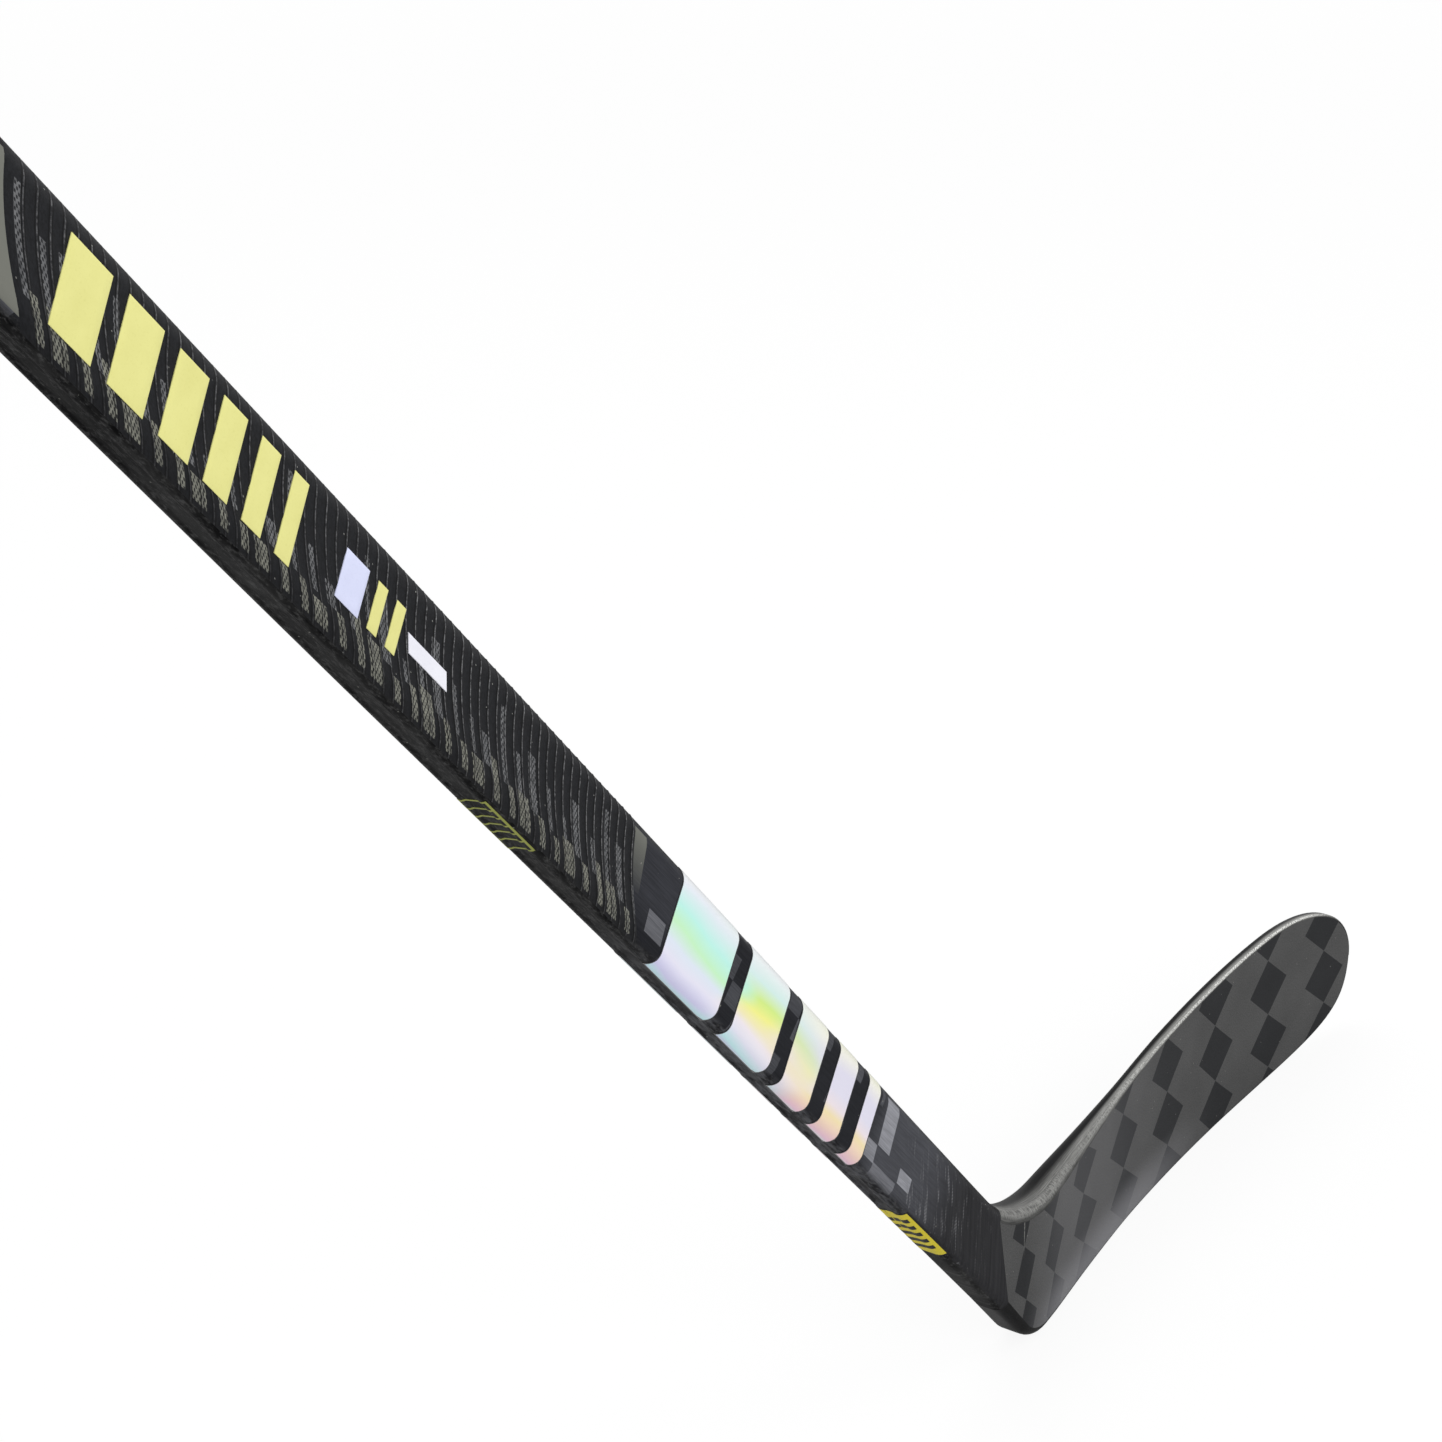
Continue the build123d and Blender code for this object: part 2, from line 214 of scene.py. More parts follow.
def build_layer(name: str, upper: Array, under: Array, marks: Marks) -> Object:
    """Make a thin closed layer: each row of its grid runs over the top and back underneath.

    The grid closes round its rows, and at both ends a wall of quads joins top and underside.

    Args:
        name: the piece's name.
        upper: grid of places on top.
        under: the same grid, sunk below the surface.
        marks: values over the grid for the material.

    Returns:
        The new piece.
    """
    rows, columns = upper.shape[:2]
    faces = grid_quads(rows, 2 * columns, loop=True)
    last = (rows - 1) * 2 * columns
    for k in range(columns - 1):
        a, b, c, d = k, k + 1, 2 * columns - 2 - k, 2 * columns - 1 - k
        faces += [[a, b, c, d], [last + d, last + c, last + b, last + a]]
    doubled = {key: np.concatenate([value, value[:, ::-1]], 1) for key, value in marks.items()}
    return build_piece(name, np.concatenate([upper, under[:, ::-1]], 1), faces, doubled)


def join_pieces(pieces: Sequence[Object], name: str) -> Object:
    """Join closed shells of one finish into a single piece.

    Args:
        pieces: the shells, at the origin.
        name: the joined piece's name.

    Returns:
        The joined piece.
    """
    merged = bmesh.new()
    for piece in pieces:
        merged.from_mesh(piece.data)
    mesh = bpy.data.meshes.new(name)
    merged.to_mesh(mesh)
    merged.free()
    for piece in pieces:
        bpy.data.meshes.remove(piece.data)
    return put(name, mesh)


def finish_piece(
    piece: Object, body: str, slot: str, material: Material, replaced: Sequence[str] = ()
) -> None:
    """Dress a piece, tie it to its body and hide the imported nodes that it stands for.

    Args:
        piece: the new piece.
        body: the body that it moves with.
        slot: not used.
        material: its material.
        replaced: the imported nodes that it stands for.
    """
    piece.data.materials.append(material)
    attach(piece, body)
    if replaced:
        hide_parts(*replaced)
    LOG.info("%s: %d faces, rides on %s", piece.name, len(piece.data.polygons), body)


class Graph:
    """A node tree, to which nodes are added one at a time."""

    def __init__(self, owner: Material | bpy.types.World) -> None:
        """Empty the node tree of a material or a world."""
        owner.use_nodes = True
        self.owner = owner
        self.tree = owner.node_tree
        self.tree.nodes.clear()

    def add(
        self,
        kind: str,
        *inputs: Feed,
        out: int | str = 0,
        named: dict[str, Feed] | None = None,
        stops: Stops = (),
        **settings: str,
    ) -> Socket | None:
        """Add a node with its settings, and feed its inputs with values or sockets.

        Args:
            kind: the node's type, and after a colon its mode, such as a sum's operation.
            *inputs: the first inputs in order; None leaves one as it is.
            out: the output to return, by number or name.
            named: further inputs by name.
            stops: a colour ramp's places and hex colours.
            **settings: the node's own properties.

        Returns:
            The chosen output socket, where the node has any.
        """
        kind, _, mode = kind.partition(":")
        node = self.tree.nodes.new("ShaderNode" + kind)
        if mode:
            settings[MODES[kind]] = mode
        for key, value in settings.items():
            setattr(node, key, value)
        for key, value in [*enumerate(inputs), *(named or {}).items()]:
            if isinstance(value, Socket):
                self.tree.links.new(value, node.inputs[key])
            elif value is not None:
                node.inputs[key].default_value = value
        for number, (place, code) in enumerate(stops):
            ramp = node.color_ramp.elements
            stop = ramp[number] if number < 2 else ramp.new(place)
            stop.position = place
            stop.color = tint(code)
        return node.outputs[out] if len(node.outputs) else None

    def close(self, colour: Feed, roughness: Feed, normal: Feed, **fixed: Feed) -> Material:
        """Finish with a surface shader and the output node.

        Args:
            colour: base colour, a value or a socket.
            roughness: a value or a socket.
            normal: the bumped normal's socket.
            **fixed: further values of the shader by name, with _ for spaces.

        Returns:
            The finished material.
        """
        named = {"Base Color": colour, "Roughness": roughness, "Normal": normal}
        named |= {key.replace("_", " "): value for key, value in fixed.items()}
        self.add("OutputMaterial", self.add("BsdfPrincipled", named=named))
        return self.owner


@dataclass(frozen=True)
class ShaftShape:
    """Outside of the shaft: a rounded rectangle that tapers to the heel."""

    lie: float = math.radians(47.0)
    middle_y: float = -7.1617
    width: float = 30.0
    thickness: float = 19.0
    foot_width: float = 29.4
    foot_thickness: float = 15.5
    foot: float = 100.0
    taper: float = 460.0
    corner: float = 5.0
    end: float = 1512.0
    dish: float = 0.5
    ledge: float = 1.6
    dish_run: float = 70.0

    @property
    def up(self) -> Array:
        """Direction up the shaft."""
        return np.array([-math.cos(self.lie), 0, math.sin(self.lie)])

    @property
    def across(self) -> Array:
        """Direction across the wide face, away from the heel side."""
        return np.array([math.sin(self.lie), 0, math.cos(self.lie)])

    def share(self, station: Array) -> Array:
        """How much of the full section is reached, from 0 at the foot to 1."""
        return np.clip((station - self.foot) / self.taper, 0, 1)

    def breadth(self, station: Array) -> Array:
        """Width across the wide face at a station."""
        return self.foot_width + (self.width - self.foot_width) * self.share(station)

    def half(self, station: Array) -> Array:
        """Half the thickness at a station."""
        return (self.foot_thickness + (self.thickness - self.foot_thickness) * self.share(station)) / 2

    def breaks(self, station: Array, inset: float = 0.0) -> tuple[Array, Array, Array]:
        """Lengths of half a narrow flat, a corner arc and a wide flat at a station."""
        radius = self.corner - inset
        flat = self.half(station) - self.corner
        return flat, np.full_like(flat, radius * QUARTER), self.breadth(station) - 2 * self.corner

    def place(self, station: Array, height: Array, side: Array) -> Array:
        """Place of a point given by its station, height and distance from the middle plane."""
        spot = HEEL + np.array([0, self.middle_y, 0]) + station[..., None] * self.up
        return spot + height[..., None] * self.across + side[..., None] * np.array([0, 1.0, 0])

    def hollow(self, station: Array, side: Array) -> Array:
        """Depth of the dish in a narrow face: a smooth ledge inside each corner."""
        fade = ease((station - self.foot) / self.dish_run) * ease((self.end - station) / self.dish_run)
        return self.dish * fade * ease((self.half(station) - self.corner - np.abs(side)) / self.ledge)

    def wrap(self, station: Array, girth: Array, lift: Array | float = 0.0, side: Side = Side.FRONT) -> Array:
        """Place on or above the surface at a distance round it from the heel-side middle.

        Round one half: narrow flat, corner arc, wide flat, corner arc, narrow flat. On an
        arc the angle is the distance along it over the radius.

        Args:
            station: distance up the shaft.
            girth: distance round from the middle of the heel-side narrow face.
            lift: height above the surface.
            side: which way round.

        Returns:
            Places in millimetres.
        """
        station, girth, lift = np.broadcast_arrays(station, girth, np.asarray(lift, float))
        flat, arc, wide = self.breaks(station)
        radius, half, breadth = self.corner, self.half(station), self.breadth(station)
        low = (self.width - breadth) / 2
        total = 2 * flat + 2 * arc + wide
        mirrored = girth > total / 2
        near = np.where(mirrored, total - girth, girth)
        angle = np.clip((near - flat) / radius, 0, QUARTER)
        along = np.maximum(near - flat - arc, 0)
        inwards = (radius + lift) * np.cos(angle)
        height = low + radius - inwards + along
        height = np.where(near < flat, height + self.hollow(station, near), height)
        height = np.where(mirrored, self.width - height, height)
        depth = np.minimum(near, flat) + (radius + lift) * np.sin(angle)
        depth = np.where(near < flat, near, depth)
        return self.place(station, height, depth * side.value)

    def face_girth(self, station: Array, height: Array) -> Array:
        """Distance round the surface at a height on the wide flat."""
        flat, arc, _ = self.breaks(station)
        low = (self.width - self.breadth(station)) / 2
        return flat + arc + height - low - self.corner

    def slab(
        self, name: str, station: Array, girth: Array, top: Array | float, side: Side, marks: Marks
    ) -> Object:
        """A thin closed layer on the surface: a lifted grid over its copy sunk below.

        Args:
            name: the piece's name.
            station: grid of stations.
            girth: grid of distances round.
            top: height above the surface over the grid.
            side: which way round.
            marks: values over the grid for the material.

        Returns:
            The new piece.
        """
        upper, under = (self.wrap(station, girth, lift, side) for lift in (top, SUNK))
        return build_layer(name, upper, under, marks)


SHAFT = ShaftShape()


@dataclass(frozen=True)
class CarbonFinish:
    """Spread-tow carbon laminate in epoxy, moulded and clear-coated.

    Flat tows 7 to 10 mm wide cross in a twill, so a few squares catch more light than the
    rest.
    Towards the heel the outer ply runs straight down and shows as fine streaks. The narrow
    faces are moulded from short tows, which leave soft mottles and pinholes in the coat.
    Each of tow_ends gives a bare tow end's middle and half length along the shaft, its
    middle and half width across the face, and how strongly it shows. The coat gap is the
    middle and half length of the plain stretch at the foot of the coat.
    """

    name: str
    base: str = "#242529"
    light_square: str = "#54555A"
    base_mid: str = "#35363B"
    base_low: str = "#47484D"
    light_low: str = "#8C8D93"
    narrow: str = "#0B0B0C"
    mottle: str = "#2B2B2B"
    narrow_low: str = "#19191C"
    mottle_low: str = "#505155"
    fleck: str = "#5C5C5C"
    heel: str = "#262628"
    heel_streak: str = "#343436"
    wrinkle: str = "#77777A"
    speck: str = "#8E8E88"
    flash: str = "#75766F"
    tow: float = 9.93
    pick: float = 7.2
    stitch: float = 0.0014
    squares_start: float = 206.0
    coat_gap: tuple[float, float] = (412.0, 28.0)
    tow_ends: tuple[tuple[float, float, float, float, float], ...] = (
        (187.1, 5.8, 19.7, 7.8, 1.0),
        (199.9, 6.5, 8.5, 3.0, 0.8),
        (163.0, 6.1, 9.3, 2.5, 1.0),
        (182.0, 11.5, 3.7, 2.3, 0.45),
        (390.0, 6.2, 8.8, 3.2, 0.4),
    )

    def crossed_tows(self, add: Adder, place: Socket, fibres: Socket) -> Socket:
        """Colour of the wide faces: every third difference of two crossing tows' numbers is pale.

        Args:
            add: adds a node to the graph.
            place: the place mark, as station, height and girth.
            fibres: noise along the fibres.

        Returns:
            The colour's socket.
        """
        t, h, girth = add("SeparateXYZ", place).node.outputs
        i = add("Math:FLOOR", add("Math:DIVIDE", t, self.tow))
        j = add("Math:FLOOR", add("Math:DIVIDE", girth, self.pick))
        count = add("Math:SUBTRACT", add("Math:SUBTRACT", i, j), 1.0)
        square = add("Math:LESS_THAN", add("Math:FLOORED_MODULO", count, 3.0), 0.5)
        # some of them stay dark, and none show by the heel or under the end of the coat
        luck = add("TexWhiteNoise", add("CombineXYZ", i, j, 0.0), noise_dimensions="3D")
        kept = add("Math:GREATER_THAN", luck, add("MapRange", t, 205.0, 235.0, 0.4, 0.5))
        amount = add("Math:MULTIPLY", kept, add("MapRange", luck, 0.35, 1.0, 0.35, 1.0))
        square = add("Math:MULTIPLY", square, amount)
        square = add("Math:MULTIPLY", square, add("Math:GREATER_THAN", t, self.squares_start))
        by_coat = add("Math:COMPARE", t, *self.coat_gap)
        square = add("Math:MULTIPLY", square, add("Math:SUBTRACT", 1.0, by_coat))
        ground = add("MapRange", t, self.squares_start - 10, self.squares_start + 8)
        ground = add("MixRGB", ground, tint(self.base_low), tint(self.base))
        lifted = add("Math:MULTIPLY", by_coat, add("MapRange", h, 5.0, 14.0))
        ground = add("MixRGB", lifted, ground, tint(self.base_mid))
        base = add("MixRGB", square, ground, tint(self.light_square))
        # next to the foil only a few tow ends come up, leaning with the lay
        leant = add("Math:ADD", t, add("Math:MULTIPLY", h, -0.38))
        ends = 0.0
        for along, half_along, across, half_across, weight in self.tow_ends:
            end = add("Math:COMPARE", leant, along, half_along)
            over = add("Math:COMPARE", h, across, half_across)
            end = add("Math:MULTIPLY", add("Math:MULTIPLY", end, over), weight)
            ends = add("Math:MAXIMUM", ends, end)
        base = add("MixRGB", ends, base, tint(self.light_low))
        return add("VectorMath:SCALE", base, named={"Scale": add("MapRange", fibres, 0.3, 0.7, 0.72, 1.28)})

    def heel_ply(self, add: Adder, t: Socket, coords: Socket, streaks: Socket, base: Socket) -> Socket:
        """Lay the straight outer ply over the heel, with dotted wrinkles where it ends.

        Args:
            add: adds a node to the graph.
            t: station up the shaft.
            coords: object coordinates.
            streaks: noise of streaks that run down.
            base: colour of the crossed tows.

        Returns:
            The colour's socket.
        """
        heel = add("MapRange", streaks, 0.32, 0.72)
        heel = add("MixRGB", heel, tint(self.heel), tint(self.heel_streak))
        base = add("MixRGB", add("MapRange:SMOOTHSTEP", t, 112.0, 160.0, 1.0, 0.0), base, heel)
        zone = add("MapRange:SMOOTHSTEP", t, 60.0, 120.0)
        zone = add("Math:MULTIPLY", zone, add("MapRange:SMOOTHSTEP", t, 160.0, 185.0, 1.0, 0.0))
        wavy = add("VectorMath:MULTIPLY", coords, (820.0, 820.0, 60.0))
        wrinkles = add("MapRange", add("TexNoise", wavy, None, 1.0, 3.0, 0.6), 0.6, 0.68, 0.0, 0.8)
        drop = add("SeparateXYZ", coords, out="Z")
        stitch = add("Math:SINE", add("Math:MULTIPLY", drop, 2 * math.pi / self.stitch))
        wrinkles = add("Math:MULTIPLY", wrinkles, add("MapRange", stitch, -0.6, 0.6, 0.35, 1.0))
        return add("MixRGB", add("Math:MULTIPLY", wrinkles, zone), base, tint(self.wrinkle))

    def coat_flashes(self, add: Adder, t: Socket, h: Socket, facing: Socket, base: Socket) -> Socket:
        """Lay the gray slanted flashes at the two ends of the grip coat over the base colour.

        Args:
            add: adds a node to the graph.
            t: station up the shaft.
            h: height on the wide face.
            facing: how far a point faces sideways.
            base: the colour under them.

        Returns:
            The colour's socket.
        """
        low = add("Math:GREATER_THAN", t, add("MapRange", h, 13.0, 28.0, 410.0, 418.5))
        low = add("Math:MULTIPLY", low, add("MapRange", h, 12.0, 29.0))
        low = add("Math:MAXIMUM", low, add("Math:GREATER_THAN", t, 600.0))
        high = add("Math:LESS_THAN", t, add("MapRange", h, 4.0, 30.0, 790.0, 768.0))
        flash = add("Math:MULTIPLY", low, high)
        flash = add("Math:MULTIPLY", flash, add("Math:GREATER_THAN", facing, 0.7))
        return add("MixRGB", flash, base, tint(self.flash))

    def short_tows(self, add: Adder, place: Socket, t: Socket, flecks: Socket) -> Socket:
        """Colour of the narrow faces: mottles 5 by 17 mm, and flakes 2 by 8 mm by the foil.

        Args:
            add: adds a node to the graph.
            place: the place mark.
            t: station up the shaft.
            flecks: share of small pale flecks.

        Returns:
            The colour's socket.
        """
        stretched = add("VectorMath:MULTIPLY", place, (0.06, 0.22, 0.22))
        mottles = add("TexNoise", stretched, None, 1.0, 5.0, 0.62, named={"Distortion": 0.6})
        narrow = add("MapRange", mottles, 0.4, 0.64)
        narrow = add("MixRGB", narrow, tint(self.narrow), tint(self.mottle))
        flakes = add("TexNoise", add("VectorMath:MULTIPLY", place, (0.12, 0.5, 0.5)), None, 1.0, 4.0, 0.65)
        flakes = add("MapRange", flakes, 0.42, 0.62)
        by_foil = add("MixRGB", flakes, tint(self.narrow_low), tint(self.mottle_low))
        plain = add("MapRange:SMOOTHSTEP", t, 330.0, 430.0)
        plain = add("Math:MAXIMUM", plain, add("MapRange:SMOOTHSTEP", t, 120.0, 185.0, 1.0, 0.0))
        return add("MixRGB", flecks, add("MixRGB", plain, by_foil, narrow), tint(self.fleck))

    def make(self) -> Material:
        """Build the material on the pieces' place and facing marks."""
        g = Graph(bpy.data.materials.new(self.name))
        add = g.add
        place = add("Attribute", out="Vector", attribute_name="place")
        facing = add("Attribute", out="Fac", attribute_name="facing")
        t, h, _ = add("SeparateXYZ", place).node.outputs
        coords = add("TexCoord", out="Object")
        # fibres, 0.3 mm across the tow and 15 mm along it, drawn coarser than real 7 micron ones
        fibres = add("TexNoise", add("VectorMath:MULTIPLY", place, (0.07, 1.0, 3.0)), None, 1.0, 3.0, 0.6)
        # streaks about 1 mm wide that run down the heel
        streaks = add("VectorMath:MULTIPLY", coords, (900.0, 900.0, 22.0))
        streaks = add("TexNoise", streaks, None, 1.0, 4.0, 0.6)
        flecks = add("TexNoise", add("VectorMath:MULTIPLY", place, (0.3, 0.8, 0.8)), None, 1.0, 4.0, 0.75)
        flecks = add("MapRange", flecks, 0.5, 0.68, 0.0, 0.5)
        base = self.crossed_tows(add, place, fibres)
        base = self.heel_ply(add, t, coords, streaks, base)
        base = self.coat_flashes(add, t, h, facing, base)
        side = add("MapRange:SMOOTHSTEP", facing, 0.35, 0.8)
        colour = add("MixRGB", side, self.short_tows(add, place, t, flecks), base)
        # pinholes in the clear coat, 0.5 mm, one to a few hundred square millimetres
        pits = add("VectorMath:MULTIPLY", coords, (1000.0, 1000.0, 1000.0))
        pits = add("Math:LESS_THAN", add("TexVoronoi", pits, None, 0.16, feature="F1"), 0.045)
        colour = add("MixRGB", add("Math:MULTIPLY", pits, 0.7), colour, tint(self.speck))
        rough = add("MapRange", fibres, 0.3, 0.7, 0.34, 0.46)
        rises = add("MixRGB", side, add("Math:MULTIPLY", flecks, 2.0), streaks)
        bump = add("Bump", 0.3, 0.00015, named={"Height": rises})
        return g.close(colour, rough, bump, Specular_IOR_Level=0.02)


@dataclass(frozen=True)
class FabricFinish:
    """Satin spread-tow carbon fabric of the blade, tows 20 mm wide laid at 45 degrees.

    Where the darker tows come up on both plies, whole diamonds show darker than the rest.
    """

    name: str = "blade_spread_tow_fabric"
    light: str = "#494949"
    dark: str = "#232426"
    painted_sheen: str = "#8E8E92"
    seam: str = "#8C8C88"
    dust: str = "#A8A8A4"

    def make(self) -> Material:
        """Build the material on the blade's weave and place marks."""
        g = Graph(bpy.data.materials.new(self.name))
        add = g.add
        weave = add("Attribute", out="Vector", attribute_name="weave")
        place = add("Attribute", out="Vector", attribute_name="place")
        a, b, _ = add("SeparateXYZ", weave).node.outputs
        x, z, _ = add("SeparateXYZ", place).node.outputs
        i = add("Math:FLOOR", add("Math:ADD", a, b))
        j = add("Math:FLOOR", add("Math:SUBTRACT", a, b))
        third = add("Math:FLOORED_MODULO", add("Math:ADD", i, j), 3.0)
        dark = add("Math:LESS_THAN", third, 0.5)
        cloud = add("TexNoise", place, None, 0.045, 3.0, 0.5)
        grain = add("TexNoise", add("VectorMath:MULTIPLY", place, (1.5, 1.5, 1.0)), None, 1.0, 3.0, 0.75)
        colour = add("MixRGB", dark, tint(self.light), tint(self.dark))
        shade = add("MapRange", cloud, 0.3, 0.7, 0.9, 1.1)
        shade = add("Math:MULTIPLY", shade, add("MapRange", grain, 0.3, 0.7, 0.62, 1.38))
        colour = add("VectorMath:SCALE", colour, named={"Scale": shade})
        # painted reflection: the half by the heel is painted paler, most of all along the sole
        broad = add("MapRange", x, 60.0, 130.0, 0.14, 0.03)
        low = add("MapRange:SMOOTHSTEP", z, 3.0, 24.0, 0.6, broad)
        rise = add("MapRange:SMOOTHSTEP", x, -12.0, 30.0)
        fall = add("MapRange:SMOOTHSTEP", x, 100.0, 190.0, 1.0, 0.0)
        pale = add("Math:MULTIPLY", add("Math:MULTIPLY", low, rise), fall)
        colour = add("MixRGB", pale, colour, tint(self.painted_sheen))
        # the lap of the heel ply, a thin ragged line
        ragged = add("TexNoise", place, None, 0.9, 2.0, 0.5)
        drift = add("Math:SUBTRACT", x, add("MapRange", z, 30.0, 66.0, -10.4, -12.4))
        line = add("Math:LESS_THAN", add("Math:ABSOLUTE", drift), 0.35)
        line = add("Math:MULTIPLY", line, add("MapRange", ragged, 0.35, 0.5, 0.1, 0.6))
        line = add("Math:MULTIPLY", line, add("MapRange", z, 46.0, 58.0))
        colour = add("MixRGB", line, colour, tint(self.seam))
        # dust caught in the clear coat, 0.5 mm
        dust = add("TexVoronoi", place, None, 0.17, feature="F1")
        dust = add("Math:MULTIPLY", add("Math:LESS_THAN", dust, 0.04), 0.5)
        colour = add("MixRGB", dust, colour, tint(self.dust))
        bump = add("Bump", 0.25, 0.0001, named={"Height": grain})
        rough = add("MapRange", dark, 0.0, 1.0, 0.42, 0.5)
        return g.close(colour, rough, bump, Specular_IOR_Level=0.1)


@dataclass(frozen=True)
class EdgeFinish:
    """Rolled edge of the blade's laminate under a gloss coat.

    The top is black and glossy. A painted highlight lies along the front corner of the top edge:
    a pale speckled line over a broader ragged smear.
    """

    name: str = "blade_rolled_edge"
    black: str = "#0B0B0C"
    edge_highlight: str = "#E2E2DE"
    face: str = "#202122"

    def make(self) -> Material:
        """Build the material on the edge's own mark: turn, run and height share."""
        g = Graph(bpy.data.materials.new(self.name))
        add = g.add
        edge = add("Attribute", out="Vector", attribute_name="edge")
        turn, run, high = add("SeparateXYZ", edge).node.outputs
        fibres = add("TexNoise", add("VectorMath:MULTIPLY", edge, (16.0, 0.06, 0.0)), None, 1.0, 5.0, 0.75)
        specks = add("TexNoise", add("VectorMath:MULTIPLY", edge, (5.0, 1.1, 0.0)), None, 1.0, 3.0, 0.8)
        # painted highlight on the front corner of the top edge: a broad ragged smear and a pale speckled line
        rise = add("MapRange", turn, -1.0, -0.8, 0.3, 1.0)
        fall = add("MapRange:SMOOTHSTEP", turn, -0.52, 0.3, 1.0, 0.0)
        smear = add("MapRange", fibres, 0.33, 0.68, 0.08, 0.56)
        smear = add("Math:MULTIPLY", smear, add("MapRange", run, 60.0, 170.0, 0.5, 1.0))
        smear = add("Math:MULTIPLY", smear, add("Math:MULTIPLY", rise, fall))
        rise = add("MapRange", turn, -0.96, -0.82)
        fall = add("MapRange", turn, -0.64, -0.48, 1.0, 0.0)
        line = add("Math:MULTIPLY", rise, fall)
        line = add("Math:MULTIPLY", line, add("MapRange", specks, 0.42, 0.56, 0.25, 1.0))
        line = add("Math:MULTIPLY", line, add("MapRange", run, 110.0, 250.0, 0.3, 1.0))
        band = add("Math:MULTIPLY", add("Math:MAXIMUM", smear, line), high)
        colour = add("MapRange", fibres, 0.45, 0.75, 0.0, 0.5)
        colour = add("MixRGB", colour, tint(self.black), tint(self.face))
        colour = add("MixRGB", band, colour, tint(self.edge_highlight))
        bump = add("Bump", 0.3, 0.00012, named={"Height": specks})
        rough = add("MapRange", band, 0.0, 1.0, 0.3, 0.55)
        return g.close(colour, rough, bump, Specular_IOR_Level=0.06)


